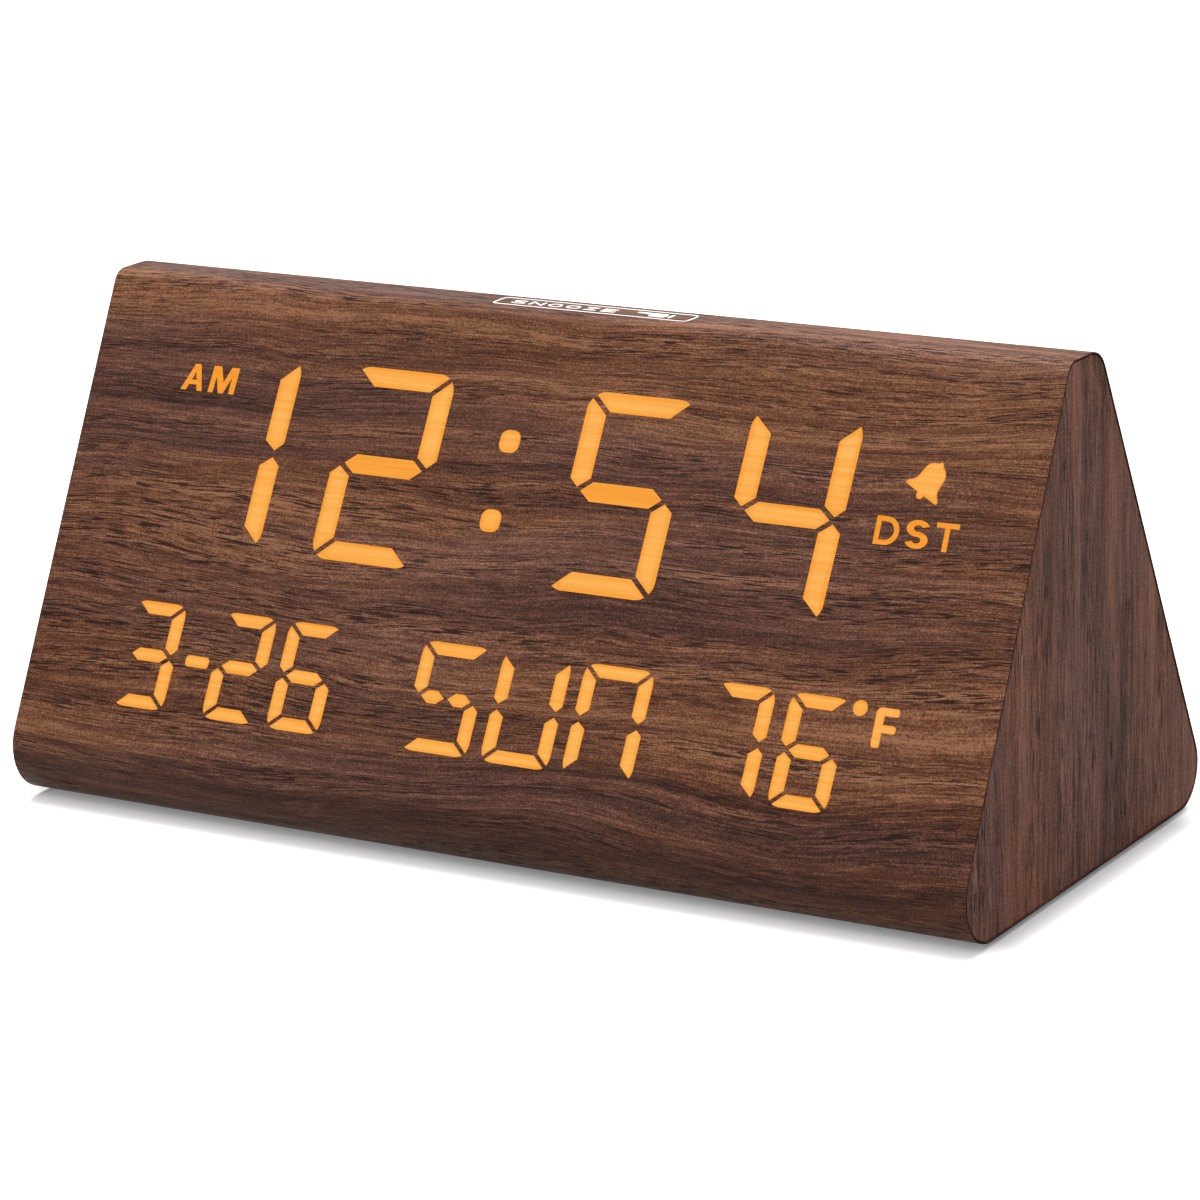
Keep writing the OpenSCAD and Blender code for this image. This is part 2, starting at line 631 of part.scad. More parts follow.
// Rear panel and what it carries
module rear_panel() color([0.09, 0.09, 0.1]) on_panel() difference() {
  union() {
    slab(in_z, face_z) polygon(rounded(panel_w, panel_h, 4));
    slab(wall_z, in_z) difference() {
      polygon(rounded(rear_win_w - 2 * seat_gap, rear_win_h - 2 * seat_gap, 3 - seat_gap));
      polygon(rounded(rear_win_w - 2 * seat_gap - 2 * skirt_t, rear_win_h - 2 * seat_gap - 2 * skirt_t, 1));
    }
    for (p = post_spots) post(p[0], p[1], ctrl_z, in_z, post_r);
    post(cell_x, low_y, cup_low_z, in_z, cup_r);
    post(door_screw_x, low_y, in_z - 5, in_z, 2.4);
    post(sounder_x, low_y, disc_z - 1.5, in_z, ring_r);
  }
  for (p = panel_screw_spots) {
    post(p[0], p[1], in_z - 1, face_z + 1, panel_screw_r + screw_gap);
    post(p[0], p[1], face_z - head_t, face_z + 1, head_r + screw_gap);
  }
  for (p = post_spots) post(p[0], p[1], ctrl_z - 1, ctrl_z + 7, screw_r + screw_gap);
  for (i = [0:3]) post(first_key_x + i * button_pitch, key_y, in_z - 1, face_z + 1, button_r + seat_gap);
  block(wheel_x, key_y, 2 * wheel_slot, wheel_w + 2 * slide_gap, in_z - 1, face_z + 1);
  block(switch_x, key_y, knob_slot_w, knob_slot_d, in_z - 1, face_z + 1);
  translate([inlet_x, low_y]) slab(in_z - 1, face_z + 1)
    polygon(rounded(inlet_w + 2 * seat_gap, inlet_h + 2 * seat_gap, inlet_h / 2 + seat_gap - 0.01));
  block(door_x, low_y, door_w, door_h, recess_z, face_z + 1);
  post(cell_x, low_y, cup_floor_z, face_z, cell_r + seat_gap);
  post(cell_x + tail_x, low_y, cup_low_z - 1, cup_floor_z + 1, tail_r + screw_gap);
  block(cell_x + strip_reach - strip_t / 2, low_y, strip_t + 2 * seat_gap, strip_d + 2 * seat_gap,
    cup_low_z - 1, cell_top_z + 2 * contact_t);
  post(door_screw_x, low_y, in_z - 6, face_z, screw_r + seat_gap);
  post(sounder_x, low_y, disc_z - 2, disc_z, disc_r + 0.2);
  post(sounder_x, low_y, disc_z - 2, in_z, disc_r - 0.5);
  grille_holes();
  for (k = [-2:2]) block(sensor_x + 3 * k, low_y, 1.4, 9, in_z - 1, face_z + 1);
}
module grille_holes() {
  post(sounder_x, low_y, in_z - 1, face_z + 1, grille_r);
  for (ring = [1, 2], k = [1:6 * ring])
    translate([sounder_x, low_y]) rotate(k * 60 / ring)
      post(3.2 * ring, 0, in_z - 1, face_z + 1, grille_r);
}
wheel_slot = sqrt(pow(wheel_r, 2) - pow(in_z - wheel_z, 2)) + slide_gap;
module panel_screws() color([0.15, 0.15, 0.16]) on_panel() for (p = panel_screw_spots) difference() {
  union() {
    post(p[0], p[1], face_z - head_t, face_z - 0.2, head_r);
    post(p[0], p[1], wall_z + 0.4, face_z - head_t, panel_screw_r);
  }
  block(p[0], p[1], 2.4, 0.5, face_z - 0.8, face_z);
  block(p[0], p[1], 0.5, 2.4, face_z - 0.8, face_z);
}
module control_board() color([0.1, 0.35, 0.2]) on_panel() difference() {
  slab(ctrl_back_z, ctrl_z) square([control_w, control_h], center = true);
  for (p = post_spots) post(p[0], p[1], ctrl_back_z - 1, ctrl_z + 1, screw_r + screw_gap);
  post(cell_x + tail_x, low_y, ctrl_back_z - 1, ctrl_z + 1, tail_r + screw_gap);
  block(cell_x + strip_reach - strip_t / 2, low_y, strip_t + 2 * screw_gap, strip_d + 2 * screw_gap,
    ctrl_back_z - 1, ctrl_z + 1);
}
module control_screws() color([0.7, 0.7, 0.72]) on_panel() for (p = post_spots) {
  post(p[0], p[1], ctrl_back_z - head_t, ctrl_back_z, head_r);
  post(p[0], p[1], ctrl_back_z, ctrl_z + 6, screw_r);
}
module controller_chip() color([0.08, 0.08, 0.08]) on_panel()
  block(chip_x, chip_y, chip_w, chip_w, ctrl_back_z - chip_t, ctrl_back_z);
module quartz_crystal() color([0.75, 0.75, 0.77]) on_panel()
  post(crystal_x, chip_y, ctrl_back_z - crystal_h, ctrl_back_z, crystal_r);
module filter_capacitor() color([0.12, 0.14, 0.3]) on_panel()
  post(filter_x, filter_y, ctrl_back_z - filter_h, ctrl_back_z, filter_r);
module control_connector() color([0.92, 0.9, 0.84]) on_panel()
  block(-ribbon_x, ribbon_rear_s - panel_s, plug_w, plug_d, ctrl_back_z - socket_t, ctrl_back_z);

// Push buttons
function key_x(i) = first_key_x + i * button_pitch;
module switch_cases() color([0.16, 0.16, 0.17]) on_panel() for (i = [0:3]) difference() {
  block(key_x(i), key_y, case_w, case_w, ctrl_z, ctrl_z + case_h);
  post(key_x(i), key_y, ctrl_z + case_h - plunger_in - button_travel - 0.2, ctrl_z + case_h + 1,
    plunger_r + 0.1);
}
module button(i) color([0.14, 0.14, 0.15]) on_panel() {
  post(key_x(i), key_y, in_z - seat_gap, key_top_z, button_r);
  post(key_x(i), key_y, in_z - seat_gap - key_flange_t, in_z - seat_gap, key_flange_r);
  post(key_x(i), key_y, key_low_z, in_z - seat_gap - key_flange_t, key_stem_r);
}
module plunger(i) color([0.85, 0.85, 0.83]) on_panel()
  post(key_x(i), key_y, ctrl_z + case_h - plunger_in, key_low_z, plunger_r);
module set_button() button(0);
module set_plunger() plunger(0);
module alarm_button() button(1);
module alarm_plunger() plunger(1);
module up_button() button(2);
module up_plunger() plunger(2);
module down_button() button(3);
module down_plunger() plunger(3);

// Dimmer
module on_wheel() on_panel() translate([wheel_x, key_y, wheel_z]) rotate([90, 0, 0]) children();
module dimmer_wheel() color([0.14, 0.14, 0.15]) on_wheel() {
  difference() {
    cylinder(h = wheel_w, r = wheel_r, center = true);
    for (k = [1:grip_n]) rotate(k * 360 / grip_n) translate([wheel_r, 0, 0])
      cylinder(h = wheel_w + 1, r = grip_r, center = true);
  }
  translate([0, 0, wheel_w / 2]) cylinder(h = shaft_l, r = shaft_r);
}
module dimmer_pot() color([0.2, 0.3, 0.55]) difference() {
  on_panel() block(wheel_x, pot_y - pot_d / 2, pot_w, pot_d, ctrl_z, pot_top_z);
  on_wheel() cylinder(h = wheel_w / 2 + shaft_l + 0.3, r = shaft_r + shaft_gap);
}

// Alarm slide switch, at rest at its off end
module alarm_switch_knob() color([0.85, 0.85, 0.83]) on_panel()
  block(switch_x - switch_travel / 2, key_y, knob_w, knob_d, switch_low_z, face_z + knob_rise);
switch_top_z = ctrl_z + switch_case_h;
switch_low_z = switch_top_z - switch_pit + slide_gap;
module alarm_switch_case() color([0.6, 0.61, 0.63]) on_panel() difference() {
  block(switch_x, key_y, switch_case_w, switch_case_d, ctrl_z, switch_top_z);
  block(switch_x, key_y, knob_slot_w, knob_slot_d, switch_top_z - switch_pit, switch_top_z + 1);
}

// Power inlet
module inlet_outline(grow)
  polygon(rounded(inlet_w + 2 * grow, inlet_h + 2 * grow, inlet_h / 2 + grow - 0.01));
module inlet_shell() color([0.78, 0.78, 0.8]) on_panel() translate([inlet_x, low_y])
  slab(ctrl_z, inlet_top_z) difference() {
    inlet_outline(0);
    inlet_outline(-inlet_wall);
  }
module inlet_tongue() color([0.1, 0.1, 0.1]) on_panel() {
  translate([inlet_x, low_y]) slab(ctrl_z, ctrl_z + 6) inlet_outline(-inlet_wall);
  block(inlet_x, low_y, tongue_w, tongue_t, ctrl_z + 6, inlet_top_z - 1);
}

// Sounder and temperature sensor
module sounder_disc() color([0.8, 0.65, 0.3]) on_panel()
  post(sounder_x, low_y, disc_z - disc_t, disc_z, disc_r);
ceramic_z = disc_z - disc_t - ceramic_t;
module sounder_ceramic() color([0.9, 0.88, 0.82]) on_panel()
  post(sounder_x, low_y, ceramic_z, disc_z - disc_t, ceramic_r);
module sounder_leads() color([0.6, 0.1, 0.1]) on_panel() {
  post(sounder_x + 0.5 * ceramic_r, low_y, ctrl_z, ceramic_z, sounder_lead_r);
  post(sounder_x + (disc_r + ceramic_r) / 2, low_y, ctrl_z, disc_z - disc_t, sounder_lead_r);
}
module temperature_sensor() color([0.1, 0.1, 0.12]) on_panel() {
  translate([sensor_x, low_y, bead_z]) sphere(r = bead_r);
  for (k = [-1, 1]) post(sensor_x + k * lead_x, low_y, ctrl_z, bead_z, lead_r);
}

// Backup cell behind its own door
module coin_cell() color([0.8, 0.8, 0.82]) on_panel() post(cell_x, low_y, cell_z, cell_top_z, cell_r);
module cell_contact_minus() color([0.75, 0.75, 0.72]) on_panel() {
  post(cell_x, low_y, cup_floor_z, cell_z, minus_r);
  post(cell_x + tail_x, low_y, ctrl_back_z, cup_floor_z, tail_r);
}
module cell_contact_plus() color([0.75, 0.75, 0.72]) on_panel() {
  strip_in = 0.5 * cell_r;
  block(cell_x + (strip_in + strip_reach) / 2, low_y, strip_reach - strip_in, strip_d,
    cell_top_z, cell_top_z + contact_t);
  block(cell_x + strip_reach - strip_t / 2, low_y, strip_t, strip_d, ctrl_back_z, cell_top_z);
}
module battery_door() color([0.11, 0.11, 0.12]) on_panel() difference() {
  block(door_x, low_y, door_w - 2 * seat_gap, door_h - 2 * seat_gap, recess_z + door_gap, face_z);
  post(door_screw_x, low_y, recess_z - 1, face_z + 1, screw_r + screw_gap);
  post(door_screw_x, low_y, face_z - 0.8, face_z + 1, head_r + screw_gap);
}
module door_screw() color([0.7, 0.7, 0.72]) on_panel() {
  post(door_screw_x, low_y, face_z - 0.8, face_z - 0.1, head_r);
  post(door_screw_x, low_y, in_z - 4, face_z - 0.8, screw_r);
}

wood_film();
front_board();
rear_board();
base_board();
top_rail();
end_panel_left();
end_panel_right();
rubber_feet();
time_digits();
date_digits();
weekday_letters();
temperature_digits();
indicator_icons();
diffuser_sheet();
display_mask();
display_board();
display_leds();
display_screws();
led_driver_chip();
display_connector();
ribbon_cable();
touch_electrode();
touch_lead();
rear_panel();
panel_screws();
control_board();
control_screws();
controller_chip();
quartz_crystal();
filter_capacitor();
control_connector();
switch_cases();
set_button();
set_plunger();
alarm_button();
alarm_plunger();
up_button();
up_plunger();
down_button();
down_plunger();
dimmer_wheel();
dimmer_pot();
alarm_switch_knob();
alarm_switch_case();
inlet_shell();
inlet_tongue();
sounder_disc();
sounder_ceramic();
sounder_leads();
temperature_sensor();
coin_cell();
cell_contact_minus();
cell_contact_plus();
battery_door();
door_screw();
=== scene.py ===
from math import atan2, cos, pi, radians, sin, tan

import bmesh
import bpy
from mathutils import Matrix, Vector


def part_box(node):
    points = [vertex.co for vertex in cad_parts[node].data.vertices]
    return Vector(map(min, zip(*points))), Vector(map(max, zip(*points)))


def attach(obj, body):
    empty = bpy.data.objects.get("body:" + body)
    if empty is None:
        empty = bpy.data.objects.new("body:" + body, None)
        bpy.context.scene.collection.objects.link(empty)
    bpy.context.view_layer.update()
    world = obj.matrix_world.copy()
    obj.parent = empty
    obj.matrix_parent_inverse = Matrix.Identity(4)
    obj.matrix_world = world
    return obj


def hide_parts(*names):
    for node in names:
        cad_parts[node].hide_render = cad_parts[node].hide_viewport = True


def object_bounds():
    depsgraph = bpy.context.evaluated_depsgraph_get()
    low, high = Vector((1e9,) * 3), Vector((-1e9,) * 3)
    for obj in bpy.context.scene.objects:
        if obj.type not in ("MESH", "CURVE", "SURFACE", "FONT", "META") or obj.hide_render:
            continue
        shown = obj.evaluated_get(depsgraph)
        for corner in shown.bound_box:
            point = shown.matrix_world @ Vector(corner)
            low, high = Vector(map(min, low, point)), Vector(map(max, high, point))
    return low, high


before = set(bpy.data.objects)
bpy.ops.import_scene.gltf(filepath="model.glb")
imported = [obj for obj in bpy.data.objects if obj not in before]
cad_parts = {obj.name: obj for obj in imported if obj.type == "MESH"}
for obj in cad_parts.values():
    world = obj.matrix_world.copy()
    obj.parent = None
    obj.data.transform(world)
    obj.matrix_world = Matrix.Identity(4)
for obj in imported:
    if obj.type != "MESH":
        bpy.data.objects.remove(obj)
cad_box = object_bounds()

# Sizes in millimetres, as in the part's source
MM = 0.001
BODY_L = 200
BODY_H = 94
BASE_D = 106.2
TOP_D = 12.5
FOOT_H = 1
FOOT_R = 6
FILM_T = 0.4
BOARD_T = 6
FRONT_TOE_R = 9.5
FRONT_BROW_R = 3.5
REAR_BROW_R = 6.5
REAR_TOE_R = 7.5
PANEL_W = 130
PANEL_H = 50
PANEL_R = 4
PANEL_S = 45

# Sizes in millimetres that only the looks need, with the dish in a foot's sole as radius and height
INK_T = 0.03
SEAM = 0.08
END_EASE = 0.18
FOOT_EASE = 0.4
FOOT_DISH = ((0, 0.15), (FOOT_R - 2, 0.1), (FOOT_R - 1.4, 0))

# How finely round shapes are drawn, how near points are welded, how squarely a face has to face a way
# to be picked, and the angle from which an edge shades as a crease
ARC_STEPS = 16
EDGE_STEPS = 6
TURN_STEPS = 48
CORNER_STEPS = 8
WELD = 1e-4
FACING = 0.99
CREASE = radians(30)

# The front and the rear slope alike, and the body is centred over the origin by its rounded toes
SLOPE = atan2(BODY_H, (BASE_D - TOP_D) / 2)
TOE_SHIFT = (FRONT_TOE_R - REAR_TOE_R) * (1 / tan(SLOPE / 2) - 1) / 2
FRONT_Y = -BASE_D / 2 - TOE_SHIFT
REAR_Y = BASE_D / 2 - TOE_SHIFT
TOP_Z = FOOT_H + BODY_H
FRONT = Matrix.Translation((0, FRONT_Y, FOOT_H)) @ Matrix.Rotation(SLOPE, 4, "X")
FACE_BACK = Matrix.Rotation(pi, 4, "Z")
REAR = Matrix.Translation((0, REAR_Y, FOOT_H)) @ FACE_BACK @ Matrix.Rotation(SLOPE, 4, "X")
PANEL = REAR @ Matrix.Translation((0, PANEL_S, -FILM_T))
FRONT_NORMAL = Vector((0, -sin(SLOPE), cos(SLOPE)))
REAR_NORMAL = Vector((0, sin(SLOPE), cos(SLOPE)))


# Materials
class Value:
    """A shader value. Python's operators on it add Math nodes."""

    def __init__(self, graph, socket):
        self.graph = graph
        self.socket = socket

    def out(self, key):
        """Another output of the same node."""
        return Value(self.graph, self.socket.node.outputs[key])

    def maths(self, operation, first, second=0):
        return self.graph.node("ShaderNodeMath", {"operation": operation}, {0: first, 1: second})

    def __abs__(self):
        return self.maths("ABSOLUTE", self)

    def __add__(self, other):
        return self.maths("ADD", self, other)

    def __sub__(self, other):
        return self.maths("SUBTRACT", self, other)

    def __rsub__(self, other):
        return self.maths("SUBTRACT", other, self)

    def __mul__(self, other):
        return self.maths("MULTIPLY", self, other)

    __radd__ = __add__
    __rmul__ = __mul__


class Graph:
    """A tree of shader nodes, built node by node."""

    def __init__(self, tree):
        self.tree = tree

    def node(self, kind, settings=None, sockets=None):
        """Add a node with its settings and inputs, and give its first output."""
        node = self.tree.nodes.new(kind)
        for key, value in (settings or {}).items():
            if key == "stops":
                self.set_stops(node.color_ramp.elements, value)
            else:
                setattr(node, key, value)
        for key, value in (sockets or {}).items():
            self.feed(node.inputs[key], value)
        return Value(self, node.outputs[0])

    def set_stops(self, elements, stops):
        while len(elements) < len(stops):
            elements.new(1)
        for element, (position, colour) in zip(elements, stops):
            element.position = position
            element.color = colour

    def feed(self, socket, value):
        if isinstance(value, Value):
            self.tree.links.new(value.socket, socket)
        else:
            socket.default_value = value


class Finish(Graph):
    """A material that is built around its Principled shader."""

    def __init__(self, name):
        self.material = bpy.data.materials.new(name)
        self.material.use_nodes = True
        super().__init__(self.material.node_tree)
        self.shader = self.tree.nodes["Principled BSDF"]
        self.place = self.node("ShaderNodeTexCoord").out("Object")

    def shade(self, **sockets):
        """Feed the shader's inputs, and give the material."""
        for key, value in sockets.items():
            self.feed(self.shader.inputs[key.replace("_", " ")], value)
        return self.material

    def noise(self, place, cycles, detail=2, shift=0):
        """Noise from 0 to 1, with so many cycles per metre along each axis."""
        stretch = {"Vector": place, "Scale": cycles, "Location": (shift,) * 3}
        spread = self.node("ShaderNodeMapping", {}, stretch)
        return self.node("ShaderNodeTexNoise", {}, {"Vector": spread, "Scale": 1, "Detail": detail})

    def rise(self, value, low, high):
        """A smooth step from 0 at low to 1 at high."""
        ends = {"Value": value, "From Min": low, "From Max": high}
        return self.node("ShaderNodeMapRange", {"interpolation_type": "SMOOTHSTEP"}, ends)

    def ramp(self, value, *stops):
        return self.node("ShaderNodeValToRGB", {"stops": stops}, {"Fac": value})

    def mix(self, first, second, share):
        return self.node("ShaderNodeMix", {"data_type": "RGBA"}, {0: share, 6: first, 7: second}).out(2)

    def relief(self, height, depth, edge=0):
        """Bump of a depth in millimetres, over edges that are rounded by a radius in millimetres."""
        sockets = {"Height": height, "Distance": depth * MM}
        if edge:
            sockets["Normal"] = self.node("ShaderNodeBevel", {"samples": 6}, {"Radius": edge * MM})
        return self.node("ShaderNodeBump", {}, sockets)


def srgb(red, green, blue):
    """A colour as it is read off a screen, from 0 to 255."""
    def linear(value):
        share = value / 255
        return share / 12.92 if share <= 0.04045 else ((share + 0.055) / 1.055) ** 2.4
    return (linear(red), linear(green), linear(blue), 1)


PORE_BROWN = srgb(32, 19, 15)
TONE_STEPS = (0.414, 0.472, 0.524, 0.586)
GRAIN_LEAN = radians(2.5)


def walnut(name, turn, sway_depth, run, bands, along, pitch, shares, warm, cool, pores_at, sheen):
    """Walnut with its grain along X once the turn is undone, Y across the grain and Z into the wood.

    In a metre, bands is how many dark bands lie side by side, and run is how many follow each other. Along is
    how many fine lines follow each other, and pitch is how far apart they lie in millimetres. Shares say how
    much broad bands, narrow bands, streaks, fibres and flecks count. The brown is warm or cool by place."""
    wood = Finish(name)
    place = wood.node("ShaderNodeMapping", {"vector_type": "TEXTURE"},
                      {"Vector": wood.place, "Rotation": turn.to_euler()})
    split = wood.node("ShaderNodeSeparateXYZ", {}, {0: place})
    sway = wood.noise(place, (4, 9, 9), 1) - 0.5
    ripple = wood.noise(place, (18, 40, 40), 1, 3) - 0.5
    lift = (sway + ripple * 0.35) * (sway_depth * MM)
    grain = wood.node("ShaderNodeCombineXYZ", {}, {0: split, 1: split.out(1) + lift, 2: split.out(2)})
    lines = 1 / (pitch * MM)
    broad = wood.noise(grain, (5, 55, 55), 2, 1.7)
    narrow = wood.noise(grain, (run, bands, bands), 3, 5.1)
    streaks = wood.noise(grain, (2 * run, 2.7 * bands, 2.7 * bands), 2, 8.6)
    fibres = wood.noise(grain, (along, lines, lines), 2, 2.3)
    flecks = wood.noise(grain, (3400, 3800, 3800), 1, 6.2)
    bands_tone = broad * shares[0] + narrow * shares[1] + streaks * shares[2]
    tone = bands_tone + fibres * shares[3] + flecks * shares[4]
    dashes = wood.rise(wood.noise(grain, (1.5 * along, 1.32 * lines, 1.32 * lines), 1, 7.9), 0.545, 0.595)
    crowd = wood.rise(wood.noise(grain, (1.2 * run, 0.8 * bands, 0.8 * bands), 2, 4.4), 0.34, 0.62)
    pores = dashes * crowd
    chill = wood.noise(grain, (8, 50, 50), 2, 9.3) - broad * 0.6 - narrow * 0.4
    coolness = wood.rise(chill, -0.1, 0.16)
    warm_brown = wood.ramp(tone, *zip(TONE_STEPS, warm))
    cool_brown = wood.ramp(tone, *zip(TONE_STEPS, cool))
    colour = wood.mix(warm_brown, cool_brown, coolness)
    colour = wood.mix(colour, PORE_BROWN, pores * pores_at)
    wood.shader.inputs["Specular IOR Level"].default_value = sheen
    return wood.shade(Base_Color=colour, Roughness=0.52 + pores * 0.2 - tone * 0.12,
                      Normal=wood.relief(fibres * 0.4 - pores, 0.02))


def walnut_film():
    turn = Matrix.Rotation(SLOPE, 3, "X") @ Matrix.Rotation(GRAIN_LEAN, 3, "Z")
    warm = (srgb(53, 29, 19), srgb(80, 48, 33), srgb(102, 65, 46), srgb(135, 94, 69))
    cool = (srgb(50, 31, 25), srgb(77, 50, 41), srgb(97, 65, 53), srgb(130, 93, 75))
    return walnut("walnut_film", turn, sway_depth=24, run=10, bands=330, along=130, pitch=0.36,
                  shares=(0.2, 0.16, 0.18, 0.21, 0.25), warm=warm, cool=cool, pores_at=0.92, sheen=0.07)


def walnut_end():
    turn = Matrix.Rotation(radians(-90), 3, "Y")
    warm = (srgb(65, 40, 31), srgb(95, 62, 49), srgb(120, 79, 62), srgb(144, 99, 78))
    cool = (srgb(59, 39, 34), srgb(90, 61, 54), srgb(114, 79, 68), srgb(140, 99, 83))
    return walnut("walnut_end", turn, sway_depth=9, run=16, bands=230, along=110, pitch=0.42,
                  shares=(0.2, 0.18, 0.16, 0.23, 0.23), warm=warm, cool=cool, pores_at=0.95, sheen=0.02)


def lit_amber():
    """Film with light behind it, deep amber at a plate's rim and paler at its heart."""
    amber = Finish("lit_amber")
    place = amber.node("ShaderNodeMapping", {"vector_type": "TEXTURE"},
                       {"Vector": amber.place, "Rotation": (SLOPE, 0, 0)})
    lines = amber.noise(place, (25, 1500, 1500), 2)
    glow = amber.node("ShaderNodeAttribute", {"attribute_name": "glow"}).out("Fac")
    rim = amber.ramp(lines, (0.35, srgb(240, 146, 34)), (0.65, srgb(248, 157, 44)))
    heart = amber.ramp(lines, (0.35, srgb(246, 168, 72)), (0.65, srgb(253, 182, 90)))
    light = amber.mix(rim, heart, glow)
    amber.shader.inputs["Emission Strength"].default_value = 1
    amber.shader.inputs["Specular IOR Level"].default_value = 0.07
    return amber.shade(Base_Color=srgb(36, 20, 6), Roughness=0.5 + lines * 0.1, Emission_Color=light)


def moulded(name, colour, worn, rough, texture=0.02, edge=0.2, sheen=0.3):
    """Moulded plastic or rubber with a fine spark-eroded texture and faint clouding."""
    plastic = Finish(name)
    spark = plastic.noise(plastic.place, (2600,) * 3, 2)
    cloud = plastic.noise(plastic.place, (45,) * 3, 3, 2.5)
    shade = plastic.mix(colour, worn, plastic.rise(cloud * 0.7 + spark * 0.3, 0.35, 0.7))
    plastic.shader.inputs["Specular IOR Level"].default_value = sheen
    return plastic.shade(Base_Color=shade, Roughness=rough + cloud * 0.12 - 0.06,
                         Normal=plastic.relief(spark, texture, edge))


def metal(name, colour, dull, rough, edge=0.1):
    """Plated or stamped metal with fine drawn lines and faint dulling."""
    sheet = Finish(name)
    lines = sheet.noise(sheet.place, (90, 2400, 2400), 2)
    cloud = sheet.noise(sheet.place, (120,) * 3, 3, 3.1)
    shade = sheet.mix(colour, dull, sheet.rise(cloud, 0.35, 0.75))
    return sheet.shade(Base_Color=shade, Metallic=1.0, Roughness=rough + lines * 0.15,
                       Normal=sheet.relief(lines, 0.01, edge))


def fibreboard():
    board = Finish("fibreboard")
    flakes = board.noise(board.place, (900, 900, 900), 4)
    specks = board.rise(board.noise(board.place, (2200,) * 3, 2, 4.2), 0.6, 0.72)
    shade = board.ramp(flakes, (0.3, srgb(128, 98, 66)), (0.7, srgb(170, 136, 98)))
    shade = board.mix(shade, srgb(92, 66, 42), specks * 0.6)
    return board.shade(Base_Color=shade, Roughness=0.85 + specks * 0.1, Normal=board.relief(flakes, 0.08))


def circuit_board():
    board = Finish("circuit_board")
    weave = board.noise(board.place, (1400,) * 3, 1)
    grid = {"Vector": board.place, "Scale": 90, "Mortar Size": 0.03}
    tracks = board.node("ShaderNodeTexBrick", {"offset": 0.5}, grid).out("Fac")
    shade = board.mix(srgb(20, 74, 44), srgb(36, 108, 62), tracks * 0.7 + weave * 0.3)
    return board.shade(Base_Color=shade, Roughness=0.35 + weave * 0.1, Normal=board.relief(tracks, 0.03, 0.1))


FINISHES = {
    "walnut_film": walnut_film(),
    "walnut_end": walnut_end(),
    "lit_amber": lit_amber(),
    "fibreboard": fibreboard(),
    "circuit_board": circuit_board(),
    "rubber": moulded("rubber", srgb(26, 26, 27), srgb(40, 40, 41), 0.8, 0.04),
    "diffuser": moulded("diffuser", srgb(225, 222, 214), srgb(238, 236, 230), 0.6, 0.01),
    "black_plastic": moulded("black_plastic", srgb(24, 24, 26), srgb(34, 34, 36), 0.55, 0.05, 0.25),
    "button_black": moulded("button_black", srgb(40, 40, 43), srgb(52, 52, 55), 0.45, 0.03, 0.3),
    "led_resin": moulded("led_resin", srgb(232, 200, 120), srgb(244, 222, 160), 0.3, 0.01, 0.05),
    "steel": metal("steel", srgb(196, 197, 200), srgb(160, 161, 164), 0.3),
    "black_steel": metal("black_steel", srgb(52, 52, 55), srgb(38, 38, 40), 0.38),
    "chip_black": moulded("chip_black", srgb(22, 22, 23), srgb(32, 32, 33), 0.6, 0.02, 0.1),
    "ivory_plastic": moulded("ivory_plastic", srgb(222, 216, 200), srgb(234, 230, 218), 0.45, 0.02, 0.15),
    "grey_cable": moulded("grey_cable", srgb(128, 130, 133), srgb(148, 150, 152), 0.5, 0.03, 0.1),
    "copper": metal("copper", srgb(214, 138, 94), srgb(170, 104, 70), 0.35),
    "blue_sleeve": moulded("blue_sleeve", srgb(26, 40, 92), srgb(40, 56, 112), 0.3, 0.01, 0.2),
    "brass": metal("brass", srgb(212, 178, 96), srgb(176, 142, 70), 0.32),
    "piezo_ceramic": moulded("piezo_ceramic", srgb(214, 206, 184), srgb(228, 222, 206), 0.5, 0.02, 0.05),
    "red_lead": moulded("red_lead", srgb(150, 26, 24), srgb(172, 40, 36), 0.4, 0.01, 0.05),
    "film_edge": moulded("film_edge", srgb(58, 36, 28), srgb(74, 48, 38), 0.7, 0.01, 0, 0.03),
    "white_ink": moulded("white_ink", srgb(236, 234, 230), srgb(246, 245, 243), 0.6, 0.005, 0),
}


# Mesh helpers
class Pen:
    """Draws an outline in a bmesh, one line or arc after the other."""

    def __init__(self, bm, start, axis=(0, 0, 1)):
        self.bm = bm
        self.axis = axis
        self.first = self.tip = bm.verts.new(start)

    def line(self, *points):
        for point in points:
            start = self.tip
            self.tip = self.bm.verts.new(point)
            self.bm.edges.new((start, self.tip))

    def arc(self, centre, angle, steps=ARC_STEPS):
        swept = bmesh.ops.spin(self.bm, geom=[self.tip], cent=centre, axis=self.axis, angle=angle,
                               steps=steps)
        self.tip = next(item for item in swept["geom_last"] if isinstance(item, bmesh.types.BMVert))

    def close(self):
        self.bm.edges.new((self.tip, self.first))


def verts_of(result):
    """The points that a bmesh operator made."""
    return [item for item in result["geom"] if isinstance(item, bmesh.types.BMVert)]


def far_edges(result):
    """The edges at the far end of what an extrusion made."""
    verts = verts_of(result)
    edges = [item for item in result["geom"] if isinstance(item, bmesh.types.BMEdge)]
    return [edge for edge in edges if all(vert in verts for vert in edge.verts)]


def largest(faces):
    return max(faces, key=lambda face: face.calc_area())


def filled(bm):
    """Fill the outline in a bmesh."""
    bmesh.ops.triangle_fill(bm, use_beauty=True, use_dissolve=True, edges=bm.edges[:], normal=(0, 0, 1))
    return bm


def added(bm, other):
    """Move all of another bmesh into this one."""
    carrier = bpy.data.meshes.new("carrier")
    other.to_mesh(carrier)
    other.free()
    bm.from_mesh(carrier)
    bpy.data.meshes.remove(carrier)
    return bm


